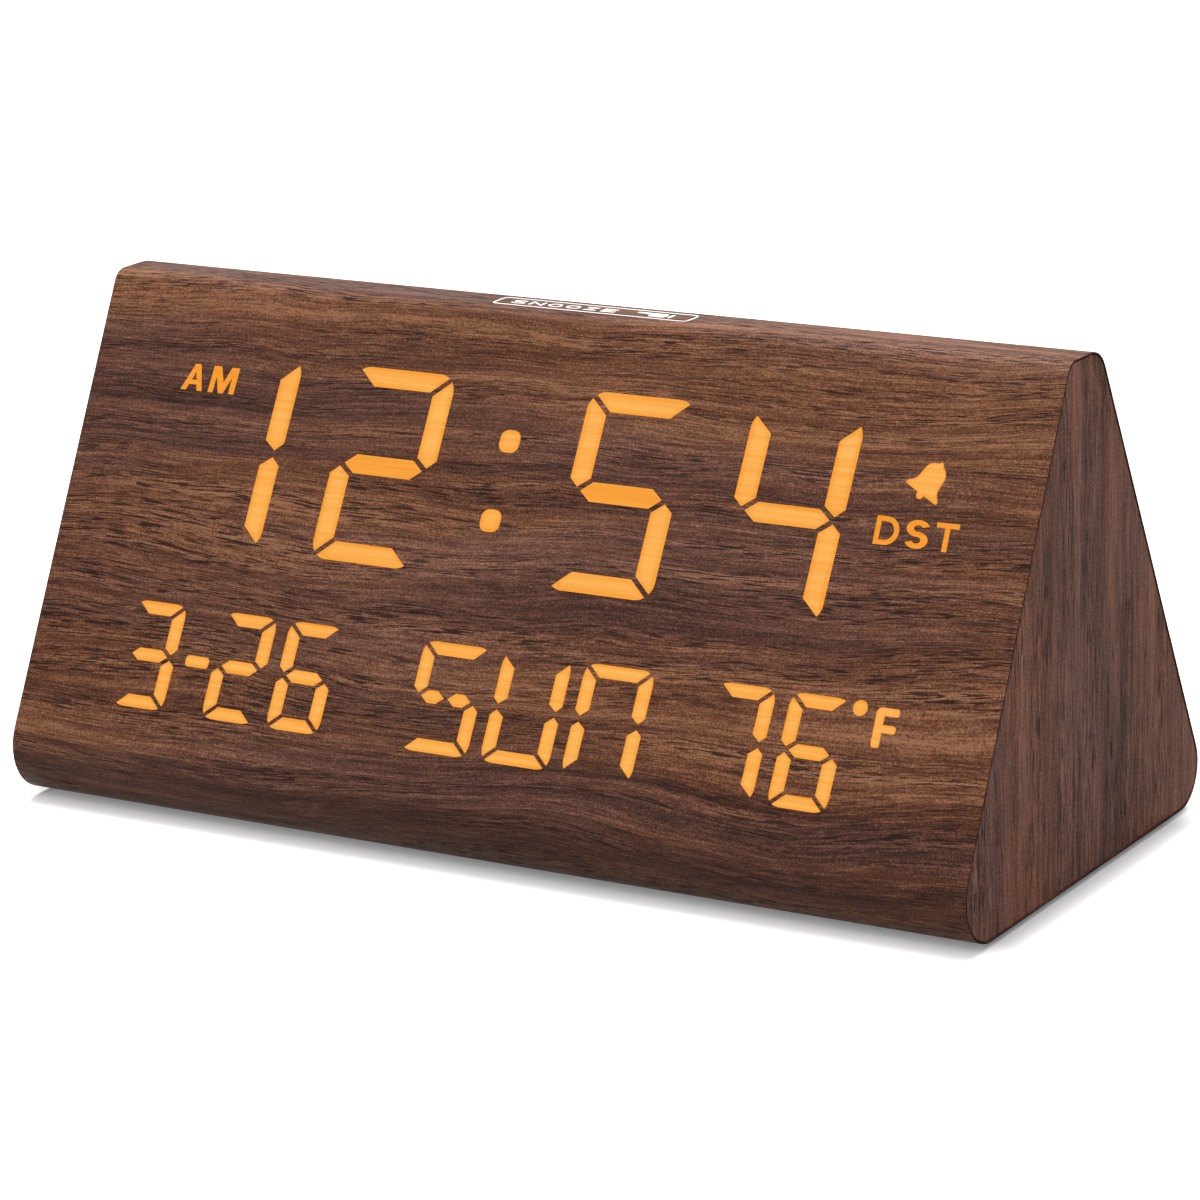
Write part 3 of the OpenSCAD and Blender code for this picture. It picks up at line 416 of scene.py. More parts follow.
def piece(name, bm, finish, body, nodes=(), place=Matrix()):
    """Make a bmesh a piece that rides on a body, stands for CAD nodes and shades smooth between creases."""
    bmesh.ops.transform(bm, matrix=Matrix.Scale(MM, 4) @ place, verts=bm.verts[:])
    mesh = bpy.data.meshes.new(name)
    bm.to_mesh(mesh)
    bm.free()
    mesh.shade_smooth()
    mesh.set_sharp_from_angle(angle=CREASE)
    mesh.materials.append(FINISHES[finish])
    item = bpy.data.objects.new(name, mesh)
    bpy.context.scene.collection.objects.link(item)
    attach(item, body)
    if nodes:
        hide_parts(*nodes)
    return item


def turned(bm):
    """Turn a profile about Z into a closed solid."""
    bmesh.ops.spin(bm, geom=bm.verts[:] + bm.edges[:], axis=(0, 0, 1), angle=2 * pi, steps=TURN_STEPS,
                   use_merge=True)
    bmesh.ops.remove_doubles(bm, verts=bm.verts[:], dist=WELD)
    bmesh.ops.recalc_face_normals(bm, faces=bm.faces[:])


def print_on(name, bm, body, place):
    """A flat print, laid on a face that is its XY plane."""
    back = bmesh.ops.extrude_face_region(bm, geom=bm.faces[:], use_keep_orig=True)
    bmesh.ops.translate(bm, vec=(0, 0, INK_T), verts=verts_of(back))
    bmesh.ops.recalc_face_normals(bm, faces=bm.faces[:])
    ink = piece(name, bm, "white_ink", body, (), place)


def flat_shaded(item):
    """Keep large flat faces flat beside small round ones."""
    item.modifiers.new("flats", "WEIGHTED_NORMAL").keep_sharp = True


# Case
def corners(inset):
    """The side outline's corners, moved in: front toe, front brow, rear brow, rear toe."""
    low = inset / tan(SLOPE) + inset / sin(SLOPE)
    high = (BODY_H - inset) / tan(SLOPE) + inset / sin(SLOPE)
    return ((FRONT_Y + low, FOOT_H + inset), (FRONT_Y + high, TOP_Z - inset),
            (REAR_Y - high, TOP_Z - inset), (REAR_Y - low, FOOT_H + inset))


def side_outline(x, inset):
    """The body's rounded side outline at a place along X, moved in from the CAD's faces."""
    bm = bmesh.new()
    heading = pi
    pen = None
    radii = (FRONT_TOE_R, FRONT_BROW_R, REAR_BROW_R, REAR_TOE_R)
    turns = (pi - SLOPE, SLOPE, SLOPE, pi - SLOPE)
    for (y, z), radius, turn in zip(corners(inset), radii, turns):
        ahead = Vector((0, cos(heading), sin(heading)))
        inward = Vector((0, sin(heading), -cos(heading)))
        bend = radius - inset
        start = Vector((x, y, z)) - ahead * bend * tan(turn / 2)
        if pen:
            pen.line(start)
        else:
            pen = Pen(bm, start, (-1, 0, 0))
        pen.arc(start + inward * bend, turn)
        heading -= turn
    pen.close()
    return bm


def rounded_plate(width, height, radius):
    """A flat plate with rounded corners, centred on the XY plane."""
    bm = bmesh.new()
    size = Matrix.Diagonal((width, height, 1, 1))
    bmesh.ops.create_grid(bm, x_segments=1, y_segments=1, size=0.5, matrix=size)
    bmesh.ops.bevel(bm, geom=bm.verts[:], affect="VERTICES", offset_type="ABSOLUTE", offset=radius,
                    segments=CORNER_STEPS, profile=0.5, material=-1)
    return bm


def make_film():
    """The printed film around the body, open at both ends and around the rear panel."""
    bm = side_outline(-BODY_L / 2, INK_T)
    tube = bmesh.ops.extrude_edge_only(bm, edges=bm.edges[:])
    bmesh.ops.translate(bm, vec=(BODY_L, 0, 0), verts=verts_of(tube))
    bmesh.ops.recalc_face_normals(bm, faces=bm.faces[:])
    rear = largest([face for face in bm.faces if face.normal.dot(REAR_NORMAL) > FACING])
    border = list(rear.edges)
    bmesh.ops.delete(bm, geom=[rear], context="FACES_ONLY")
    opening = rounded_plate(PANEL_W, PANEL_H, PANEL_R)
    bmesh.ops.delete(opening, geom=opening.faces[:], context="FACES_ONLY")
    on_rear = REAR @ Matrix.Translation((0, PANEL_S, -INK_T))
    bmesh.ops.transform(opening, matrix=on_rear, verts=opening.verts[:])
    old = set(bm.edges)
    added(bm, opening)
    hole = [edge for edge in bm.edges if edge not in old]
    bmesh.ops.triangle_fill(bm, use_beauty=True, edges=border + hole, normal=REAR_NORMAL)
    bmesh.ops.recalc_face_normals(bm, faces=bm.faces[:])
    film = piece("film_wrap", bm, "walnut_film", "case", ["wood_film"])
    film.data.materials.append(FINISHES["film_edge"])
    wall = film.modifiers.new("thickness", "SOLIDIFY")
    wall.thickness = (FILM_T - INK_T) * MM
    wall.offset = -1
    wall.material_offset_rim = 1
    flat_shaded(film)


def make_end_panel(name, node, side):
    """An end panel set into the film's rim, with its outer edge eased."""
    outer_x = BODY_L / 2 - SEAM
    bm = side_outline(side * outer_x, FILM_T + SEAM)
    bmesh.ops.edgeloop_fill(bm, edges=bm.edges[:])
    back = bmesh.ops.extrude_face_region(bm, geom=bm.faces[:], use_keep_orig=True)
    bmesh.ops.translate(bm, vec=(-side * (BOARD_T - SEAM), 0, 0), verts=verts_of(back))
    bmesh.ops.recalc_face_normals(bm, faces=bm.faces[:])
    rim = [edge for edge in bm.edges if all(abs(v.co.x) > outer_x - SEAM for v in edge.verts)]
    bmesh.ops.bevel(bm, geom=rim, affect="EDGES", offset=END_EASE, segments=2, profile=0.5, material=-1)
    panel = piece(name, bm, "walnut_end", "case", [node])
    flat_shaded(panel)


def make_feet():
    """Four rubber feet with a rounded edge and a dished underside."""
    low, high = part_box("rubber_feet")
    bm = bmesh.new()
    for x in (low.x / MM + FOOT_R, high.x / MM - FOOT_R):
        for y in (low.y / MM + FOOT_R, high.y / MM - FOOT_R):
            foot = bmesh.new()
            sole = [(radius, 0, height) for radius, height in FOOT_DISH]
            pen = Pen(foot, sole[0], (0, 1, 0))
            pen.line(*sole[1:], (FOOT_R - FOOT_EASE, 0, 0))
            pen.arc((FOOT_R - FOOT_EASE, 0, FOOT_EASE), -pi / 2, EDGE_STEPS)
            pen.line((FOOT_R, 0, FOOT_H), (0, 0, FOOT_H))
            turned(foot)
            bmesh.ops.translate(foot, vec=(x, y, 0), verts=foot.verts[:])
            added(bm, foot)
    feet = piece("foot_pads", bm, "rubber", "case", ["rubber_feet"])


# Display: sizes in millimetres, and places along the front and up its slope
TIP_GAP = 0.39
POINTED = radians(60)
BLUNT = radians(150)
ALONG_STROKE = 0.97
ARC_CUTS = 9
ROUND_SIDES = 20
RIM_SHARE = 0.8
LEAN = radians(2)
COLON_SIZE = (4.2, 4.2, 1.6)
DASH_SIZE = (5.2, 2.15, 0.75)
DASH_SPAN = (-66, -59)
DASH_AREA = 15
DEGREE_SIZE = (2.8, 2.8, 1.39)
UNIT_LEFT = 76
UNIT_RIM = 0.4
UNIT_SHOULDER = 1.1
UNIT_EASE = 0.5
SAVING_LETTERS = (("D", 69.9, 4.6), ("S", 75.8, 4.4), ("T", 81.4, 4.3))
SAVING_S = 70
SAVING_H = 5.05
SAVING_LINE = 0.92
SAVING_BOLD = 0.02
BOWL_START = radians(20)
BOWL_SWING = radians(250)
BELL_AT = (77.15, 79.65)
BELL_TILT = radians(-28)
BELL_RIM = 0.5

# How brightly plates glow at their rims, and in the two middle bars that the photo shows deeper
RIM_GLOW = 0.25
ICON_GLOW = 0.05
DEEP_GLOW = 0.3
DEEP_BARS = ((-31.4, 73.1), (19, 73.1))
DEEP_HALF = (8.3, 1.3)


def node_faces(node):
    """A CAD node's front faces, laid on the XY plane in millimetres."""
    bm = bmesh.new()
    bm.from_mesh(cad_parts[node].data)
    bmesh.ops.remove_doubles(bm, verts=bm.verts[:], dist=1e-6)
    hidden = [face for face in bm.faces if face.normal.dot(FRONT_NORMAL) < FACING]
    bmesh.ops.delete(bm, geom=hidden, context="FACES")
    bmesh.ops.dissolve_limit(bm, angle_limit=radians(1), verts=bm.verts[:], edges=bm.edges[:])
    laid = FRONT.inverted() @ Matrix.Scale(1 / MM, 4)
    bmesh.ops.transform(bm, matrix=laid, verts=bm.verts[:])
    return bm


class Row:
    """How one row's strokes look, in mm: outline radius, inset all round, inset of the ends and rim."""

    def __init__(self, radius, shrink, back, rim):
        self.radius = radius
        self.shrink = shrink
        self.back = back
        self.rim = rim


TIME_ROW = Row(3.5, 0.01, 0.19, 1.1)
LOW_ROW = Row(2.2, 0.07, 0.04, 0.75)


def rimmed(bm, rim):
    """Give flat shapes a border of their own."""
    bmesh.ops.inset_individual(bm, faces=bm.faces[:], thickness=rim, use_even_offset=True)
    return bm


def trim(bm, place, outward):
    """Cut off what lies outside a line."""
    bmesh.ops.bisect_plane(bm, geom=bm.verts[:] + bm.edges[:] + bm.faces[:], dist=1e-5, plane_co=place,
                           plane_no=outward, clear_outer=True)


def lit_stroke(face, row):
    """A stroke with sharp ends, whose pointed outer corners follow the character's rounded outline."""
    bm = rimmed(plate(*[vert.co.xy for vert in face.verts]), row.shrink)
    inner = largest(bm.faces)
    bmesh.ops.delete(bm, geom=[part for part in bm.faces if part != inner], context="FACES")
    rimmed(bm, row.rim)
    longest = max(face.edges, key=lambda edge: edge.calc_length())
    axis = (longest.verts[1].co - longest.verts[0].co).normalized()
    middle = face.calc_center_median()
    for loop in face.loops:
        tip = loop.vert.co
        ahead = loop.link_loop_next.vert.co - tip
        if abs(ahead.normalized().dot(axis)) < ALONG_STROKE:
            outward = Vector((ahead.y, -ahead.x, 0)).normalized()
            outward *= 1 if outward.dot(tip - middle) > 0 else -1
            trim(bm, tip - outward * (row.shrink + row.back), outward)
    for loop in face.loops:
        if not loop.is_convex or loop.calc_angle() > POINTED:
            continue
        tip = loop.vert.co
        sides = [loop.link_loop_next.vert.co - tip, loop.link_loop_prev.vert.co - tip]
        mitre, outer = sorted(sides, key=lambda side: side.length)
        along = outer.normalized()
        inward = (mitre - along * mitre.dot(along)).normalized()
        centre = tip - along * TIP_GAP + (along + inward) * row.radius
        for cut in range(1, ARC_CUTS):
            angle = cut / ARC_CUTS * pi / 2
            outward = -along * sin(angle) - inward * cos(angle)
            trim(bm, centre + outward * (row.radius - row.shrink), outward)
    return bm


def leaned_plate(spot, width, height, radius):
    """A small plate with rounded corners that leans as the characters do."""
    bm = rimmed(rounded_plate(width, height, radius), RIM_SHARE * radius)
    lean = Matrix.Shear("XZ", 4, (tan(LEAN), 0))
    bmesh.ops.transform(bm, matrix=Matrix.Translation(spot) @ lean, verts=bm.verts[:])
    return bm


def lit_strokes(drawn, row):
    """A row's strokes, colon, dash and degree sign, from a bmesh of their plain faces."""
    bm = bmesh.new()
    for face in drawn.faces:
        spot = face.calc_center_median()
        in_dash = DASH_SPAN[0] < spot.x < DASH_SPAN[1] and face.calc_area() < DASH_AREA
        if len(face.verts) > ROUND_SIDES:
            size = COLON_SIZE if row is TIME_ROW else DEGREE_SIZE
            added(bm, leaned_plate(spot, *size))
        elif in_dash and len(face.verts) == 4:
            added(bm, leaned_plate(spot, *DASH_SIZE))
        else:
            added(bm, lit_stroke(face, row))
    drawn.free()
    return bm


def eased(bm, radius):
    """Round the outward corners of flat shapes to a radius."""
    groups = {}
    for face in bm.faces:
        for loop in face.loops:
            angle = loop.calc_angle()
            if loop.is_convex and angle < BLUNT:
                groups.setdefault(round(radius / tan(angle / 2), 2), []).append(loop.vert)
    for reach, verts in groups.items():
        bmesh.ops.bevel(bm, geom=verts, affect="VERTICES", offset_type="ABSOLUTE", offset=reach,
                        segments=5, profile=0.5, material=-1, clamp_overlap=True)
    return bm


def plate(*points):
    """A flat shape from its few corners."""
    bm = bmesh.new()
    bm.faces.new([bm.verts.new((*point, 0)) for point in points])
    return bm


def level_at(vert, rim_glow):
    """How brightly a lit plate glows at one of its points."""
    if vert.is_boundary:
        return rim_glow
    for u, s in DEEP_BARS:
        if abs(vert.co.x - u) < DEEP_HALF[0] and abs(vert.co.y - s) < DEEP_HALF[1]:
            return DEEP_GLOW
    return 1.0


def make_lit(name, bm, node, rim_glow=RIM_GLOW):
    """Lit plates as deep as the film, brightest inside their borders."""
    glow = bm.verts.layers.float.new("glow")
    for vert in bm.verts:
        vert[glow] = level_at(vert, rim_glow)
    back = bmesh.ops.extrude_face_region(bm, geom=bm.faces[:], use_keep_orig=True)
    bmesh.ops.translate(bm, vec=(0, 0, -FILM_T), verts=verts_of(back))
    bmesh.ops.recalc_face_normals(bm, faces=bm.faces[:])
    item = piece(name, bm, "lit_amber", "case", [node], FRONT)


def lettering(words, left, low, height, width=0, bold=0.0):
    """Plain capitals on the XY plane, from a lower left corner and as wide as given or as they come."""
    curve = bpy.data.curves.new("lettering", "FONT")
    curve.body = words
    curve.offset = bold
    text = bpy.data.objects.new("lettering", curve)
    bpy.context.scene.collection.objects.link(text)
    bpy.context.view_layer.update()
    mesh = bpy.data.meshes.new_from_object(text.evaluated_get(bpy.context.evaluated_depsgraph_get()))
    bm = bmesh.new()
    bm.from_mesh(mesh)
    bpy.data.objects.remove(text)
    bpy.data.meshes.remove(mesh)
    xs = [vert.co.x for vert in bm.verts]
    ys = [vert.co.y for vert in bm.verts]
    tall = height / (max(ys) - min(ys))
    wide = width / (max(xs) - min(xs)) if width else tall
    fit = Matrix.Translation((left, low, 0)) @ Matrix.Diagonal((wide, tall, 1, 1)) \
        @ Matrix.Translation((-min(xs), -min(ys), 0))
    bmesh.ops.transform(bm, matrix=fit, verts=bm.verts[:])
    bmesh.ops.remove_doubles(bm, verts=bm.verts[:], dist=WELD)
    return bm


def morning_letters():
    """A and M as bold leaning capitals, the A with its eye open."""
    bm = plate((-79.5, 83.3), (-78.3, 83.3), (-77.8, 84.45), (-76.1, 84.45),
               (-75.85, 83.3), (-74.65, 83.3), (-75.95, 88.4), (-77.2, 88.4))
    added(bm, plate((-77.4, 85.35), (-76.75, 86.95), (-76.3, 85.35)))
    bmesh.ops.delete(bm, geom=bm.faces[:], context="FACES_ONLY")
    filled(bm)
    added(bm, plate((-73.3, 83.3), (-72.2, 83.3), (-71.95, 86.5), (-70.95, 83.3), (-69.9, 83.3),
                    (-68.45, 86.5), (-68.6, 83.3), (-67.45, 83.3), (-67.1, 88.4), (-68.85, 88.4),
                    (-70.15, 85.4), (-71.2, 88.4), (-72.9, 88.4)))
    return bm


def saving_s(left, width):
    """An S of two even bowls, stretched to its width."""
    bm = bmesh.new()
    half = SAVING_LINE / 2
    bowl = (SAVING_H - SAVING_LINE) / 4
    high, low = Vector((0, bowl, 0)), Vector((0, -bowl, 0))
    start = Matrix.Rotation(BOWL_START, 3, "Z") @ Vector((bowl + half, 0, 0))
    pen = Pen(bm, high + start)
    pen.arc(high, BOWL_SWING)
    pen.arc(low, -BOWL_SWING)
    pen.line(low - start)
    pen.arc(low, BOWL_SWING)
    pen.arc(high, -BOWL_SWING)
    pen.close()
    bmesh.ops.edgeloop_fill(bm, edges=bm.edges[:])
    stretch = Matrix.Diagonal((width / (2 * bowl + SAVING_LINE), 1, 1, 1))
    middle = Matrix.Translation((left + width / 2, SAVING_S + SAVING_H / 2, 0))
    bmesh.ops.transform(bm, matrix=middle @ stretch, verts=bm.verts[:])
    return bm


def degree_unit():
    """The F of the temperature: one rounded shoulder and rounded ends."""
    bm = plate((77.1, 35.05), (78.75, 35.05), (78.75, 37.75), (81.3, 37.75), (81.3, 39.15),
               (78.75, 39.15), (78.75, 40.7), (81.5, 40.7), (81.5, 42.15), (77.1, 42.15))
    shoulder = min(bm.verts, key=lambda vert: vert.co.x - vert.co.y)
    bmesh.ops.bevel(bm, geom=[shoulder], affect="VERTICES", offset_type="ABSOLUTE", offset=UNIT_SHOULDER,
                    segments=7, profile=0.5, material=-1)
    return eased(bm, UNIT_EASE)


def bell():
    """A bell with its mouth's middle at the origin: half of its outline is drawn and mirrored."""
    bm = bmesh.new()
    pen = Pen(bm, (0, 6.5, 0), (0, 0, -1))
    pen.arc((0, 6.05, 0), radians(75), 6)
    pen.line((0.5, 5.98, 0))
    pen.arc((0, 3.75, 0), radians(77), 14)
    pen.line((2.36, 2.6, 0), (2.48, 1.9, 0), (2.75, 1.4, 0), (3.45, 0.75, 0), (3.68, 0.45, 0),
             (3.66, 0.12, 0), (3.4, -0.05, 0), (0.7, -0.1, 0))
    pen.arc((0, -0.3, 0), radians(106), 8)
    for vert in (pen.first, pen.tip):
        vert.co.x = 0
    bmesh.ops.mirror(bm, geom=bm.verts[:] + bm.edges[:], axis="X", merge_dist=WELD)
    bmesh.ops.remove_doubles(bm, verts=bm.verts[:], dist=WELD)
    bmesh.ops.edgeloop_fill(bm, edges=bm.edges[:])
    turn = Matrix.Translation((*BELL_AT, 0)) @ Matrix.Rotation(BELL_TILT, 4, "Z")
    bmesh.ops.transform(bm, matrix=turn, verts=bm.verts[:])
    return bm


def make_display():
    """The lit rows and signs, each in the place of its CAD node."""
    make_lit("lit_time", lit_strokes(node_faces("time_digits"), TIME_ROW), "time_digits")
    for name, node in (("lit_date", "date_digits"), ("lit_weekday", "weekday_letters")):
        make_lit(name, lit_strokes(node_faces(node), LOW_ROW), node)
    warmth = node_faces("temperature_digits")
    unit = [face for face in warmth.faces if face.calc_center_median().x > UNIT_LEFT]
    bmesh.ops.delete(warmth, geom=unit, context="FACES")
    warmth = added(lit_strokes(warmth, LOW_ROW), rimmed(degree_unit(), UNIT_RIM))
    make_lit("lit_temperature", warmth, "temperature_digits")
    icons = morning_letters()
    for sign, left, width in SAVING_LETTERS:
        if sign == "S":
            added(icons, saving_s(left, width))
        else:
            added(icons, lettering(sign, left, SAVING_S, SAVING_H, width, SAVING_BOLD))
    added(icons, rimmed(bell(), BELL_RIM))
    make_lit("lit_icons", icons, "indicator_icons", ICON_GLOW)


# Touch zone: places on top, and the hand's finger, palm and cuff as left, low, width, height and radius
TOUCH_X = (-17.4, 23.7)
TOUCH_Y = (-4.6, 0.9)
TOUCH_R = 1.2
PRINT_LINE = 0.35
WORD = "SNOOZE"
WORD_X = (-14.2, 8.6)
WORD_Y = (-3.0, -0.7)
WORD_BOLD = 0.015
LETTER_SHARE = 0.76
HAND_X = 11.7
HAND_PARTS = ((0, 0.45, 3.2, 0.8, 0.39), (2.9, -1.25, 3.6, 2.5, 0.7), (7.1, -1.2, 0.6, 2.4, 0.1))
INK_SINK = 1.1 * INK_T


def make_touch_print():
    """The printed outline, word and hand that mark the touch zone on top."""
    middle = Vector((sum(TOUCH_X) / 2, sum(TOUCH_Y) / 2, 0))
    ring = rounded_plate(TOUCH_X[1] - TOUCH_X[0], TOUCH_Y[1] - TOUCH_Y[0], TOUCH_R)
    bmesh.ops.inset_region(ring, faces=ring.faces[:], thickness=PRINT_LINE, use_even_offset=True,
                           use_boundary=True)
    bmesh.ops.delete(ring, geom=[largest(ring.faces)], context="FACES")
    bmesh.ops.translate(ring, vec=middle, verts=ring.verts[:])
    step = (WORD_X[1] - WORD_X[0]) / len(WORD)
    tall = WORD_Y[1] - WORD_Y[0]
    for index, sign in enumerate(WORD):
        left = WORD_X[0] + index * step
        added(ring, lettering(sign, left, WORD_Y[0], tall, LETTER_SHARE * step, WORD_BOLD))
    mid_y = sum(WORD_Y) / 2
    for left, low, wide, high, radius in HAND_PARTS:
        part = rounded_plate(wide, high, radius)
        spot = (HAND_X + left + wide / 2, mid_y + low + high / 2, 0)
        bmesh.ops.translate(part, vec=spot, verts=part.verts[:])
        added(ring, part)
    print_on("touch_print", ring, "case", Matrix.Translation((0, 0, TOP_Z - INK_SINK)))


# Rear controls: sizes in millimetres, and places on the panel from its middle
PANEL_T = 3
SEAT_GAP = 0.3
CONTROL_Y = 14
LOW_Y = -8

# Each key's body, node, printed sign and place, and the dish in its top as radius and drop
KEYS = (("set_key", "set_button", "SET", -48), ("alarm_key", "alarm_button", "ALARM", -34),
        ("up_key", "up_button", "+", -20), ("down_key", "down_button", "-", -6))
KEY_R = 3.5
KEY_RISE = 1.5
KEY_EASE = 0.6
KEY_DISH = ((0, 0.22), (1.1, 0.18), (1.9, 0.08), (2.4, 0))
KEY_FLANGE_R = 4.75
KEY_FLANGE_T = 1
KEY_STEM_R = 2.5
KEY_LOW = -9.1

# The slide switch's knob at rest, and its ridges
SWITCH_X = 48
KNOB_AT = SWITCH_X - 2
KNOB_W = 4.4
KNOB_D = 2.2
KNOB_RISE = 1
KNOB_LOW = -10.7
RIDGES = (-1.3, 0, 1.3)
RIDGE_H = 0.3
RIDGE_FOOT = 0.4
RIDGE_TOP = 0.2

# The door's screw: each step down from its head is a scale and a drop
DOOR_SCREW_X = -3.6
DOOR_SCREW_R = 1.9
DOOR_SCREW_SINK = 0.1
DOME_R = DOOR_SCREW_R - 0.35
CROSS_REACH = 1.2
CROSS_HALF = 0.25
CROSS_DEPTH = 0.5
SCREW_STEPS = ((DOOR_SCREW_R / DOME_R, -0.2), (1, -0.5), (1 / DOOR_SCREW_R, 0), (1, -6))

# Prints on the panel and the door
LABEL_Y = 18.5
LABEL_H = 1.7
LABEL_BOLD = 0.012
SIGN_LINE = 0.4
SIGN_REACH = 1
SIGN_Y = 0.9
UNDER_Y = 9.6
SWITCH_REACH = 3.2
WHEEL_X = 24
WEDGE_REACH = 6
WEDGE_H = 1.4
INLET_X = -46
INLET_BAR = (0, -3, 4.4)
INLET_DOTS = ((-1.7, -3.9, 1), (0, -3.9, 1), (1.7, -3.9, 1))
CELL_X = -18.4
COIN_R = 6.2
COIN_PLUS_Y = 1.2
COIN_BARS = (-1.6, -3)
COIN_BAR_REACH = 2.6


def make_key(body, node, x):
    """A round push button with a soft rim and a dished top, on its flange and stem."""
    bm = bmesh.new()
    dish = [(radius, 0, KEY_RISE - drop) for radius, drop in KEY_DISH]
    pen = Pen(bm, dish[0], (0, 1, 0))
    pen.line(*dish[1:], (KEY_R - KEY_EASE, 0, KEY_RISE))
    pen.arc((KEY_R - KEY_EASE, 0, KEY_RISE - KEY_EASE), pi / 2, EDGE_STEPS)
    shoulder = -PANEL_T - SEAT_GAP
    pen.line((KEY_R, 0, shoulder), (KEY_FLANGE_R, 0, shoulder), (KEY_FLANGE_R, 0, shoulder - KEY_FLANGE_T),
             (KEY_STEM_R, 0, shoulder - KEY_FLANGE_T), (KEY_STEM_R, 0, KEY_LOW), (0, 0, KEY_LOW))
    turned(bm)
    place = PANEL @ Matrix.Translation((x, CONTROL_Y, 0))
    cap = piece(node + "_cap", bm, "button_black", body, [node], place)


def make_knob():
    """The slide switch's knob with three grip ridges across its top."""
    bm = bmesh.new()
    half = KNOB_W / 2
    valley = KNOB_RISE - RIDGE_H
    pen = Pen(bm, (-half, 0, KNOB_LOW))
    pen.line((-half, 0, valley))
    for middle in RIDGES:
        pen.line((middle - RIDGE_FOOT, 0, valley), (middle - RIDGE_TOP, 0, KNOB_RISE),
                 (middle + RIDGE_TOP, 0, KNOB_RISE), (middle + RIDGE_FOOT, 0, valley))
    pen.line((half, 0, valley), (half, 0, KNOB_LOW))
    pen.close()
    bmesh.ops.edgeloop_fill(bm, edges=bm.edges[:])
    far = bmesh.ops.extrude_face_region(bm, geom=bm.faces[:], use_keep_orig=True)
    bmesh.ops.translate(bm, vec=(0, KNOB_D, 0), verts=verts_of(far))
    bmesh.ops.recalc_face_normals(bm, faces=bm.faces[:])
    place = PANEL @ Matrix.Translation((KNOB_AT, CONTROL_Y - KNOB_D / 2, 0))
    knob = piece("alarm_knob", bm, "ivory_plastic", "alarm_slider", ["alarm_switch_knob"], place)


def bar(middle, y, width, line):
    """A level bar with its middle at a place."""
    left, right = middle - width / 2, middle + width / 2
    low, high = y - line / 2, y + line / 2
    return plate((left, low), (right, low), (right, high), (left, high))


def centred_label(sign, middle, low):
    """A word as high as all the others, or a plus or minus drawn to suit, centred on its place."""
    if sign in "+-":
        bm = bar(0, SIGN_Y, 2 * SIGN_REACH, SIGN_LINE)
        if sign == "+":
            arm = SIGN_REACH - SIGN_LINE / 2
            for side in (-1, 1):
                added(bm, bar(0, SIGN_Y + side * (SIGN_REACH - arm / 2), SIGN_LINE, arm))
    else:
        bm = lettering(sign, 0, 0, LABEL_H, 0, LABEL_BOLD)
        half = max(vert.co.x for vert in bm.verts) / 2
        bmesh.ops.translate(bm, vec=(-half, 0, 0), verts=bm.verts[:])
    bmesh.ops.translate(bm, vec=(middle, low, 0), verts=bm.verts[:])
    return bm


def make_panel_print():
    """White words and signs for the controls, all plain ones."""
    bm = bmesh.new()
    key_labels = [key[2:] for key in KEYS]
    for sign, middle in (*key_labels, ("DIM", WHEEL_X), ("ALARM", SWITCH_X)):
        added(bm, centred_label(sign, middle, LABEL_Y))
    added(bm, centred_label("OFF", SWITCH_X - SWITCH_REACH, UNDER_Y))
    added(bm, centred_label("ON", SWITCH_X + SWITCH_REACH, UNDER_Y))
    thin, thick = WHEEL_X - WEDGE_REACH, WHEEL_X + WEDGE_REACH
    added(bm, plate((thin, UNDER_Y), (thick, UNDER_Y), (thick, UNDER_Y + WEDGE_H)))
    for middle, y, width in (INLET_BAR, *INLET_DOTS):
        added(bm, bar(INLET_X + middle, y, width, SIGN_LINE))
    print_on("panel_print", bm, "case", PANEL)


def make_door_print():
    """A plain sign for a coin cell, with its plus upward."""
    coin = bmesh.new()
    bmesh.ops.create_circle(coin, cap_ends=True, segments=64, radius=COIN_R)
    ring = bmesh.ops.inset_region(coin, faces=coin.faces[:], thickness=PRINT_LINE, use_boundary=True)
    bmesh.ops.delete(coin, geom=[face for face in coin.faces if face not in ring["faces"]], context="FACES")
    added(coin, centred_label("+", 0, COIN_PLUS_Y))
    for low in COIN_BARS:
        added(coin, bar(0, low + PRINT_LINE / 2, 2 * COIN_BAR_REACH, PRINT_LINE))
    bmesh.ops.translate(coin, vec=(CELL_X, LOW_Y, 0), verts=coin.verts[:])
    print_on("door_print", coin, "cell_cover", PANEL)


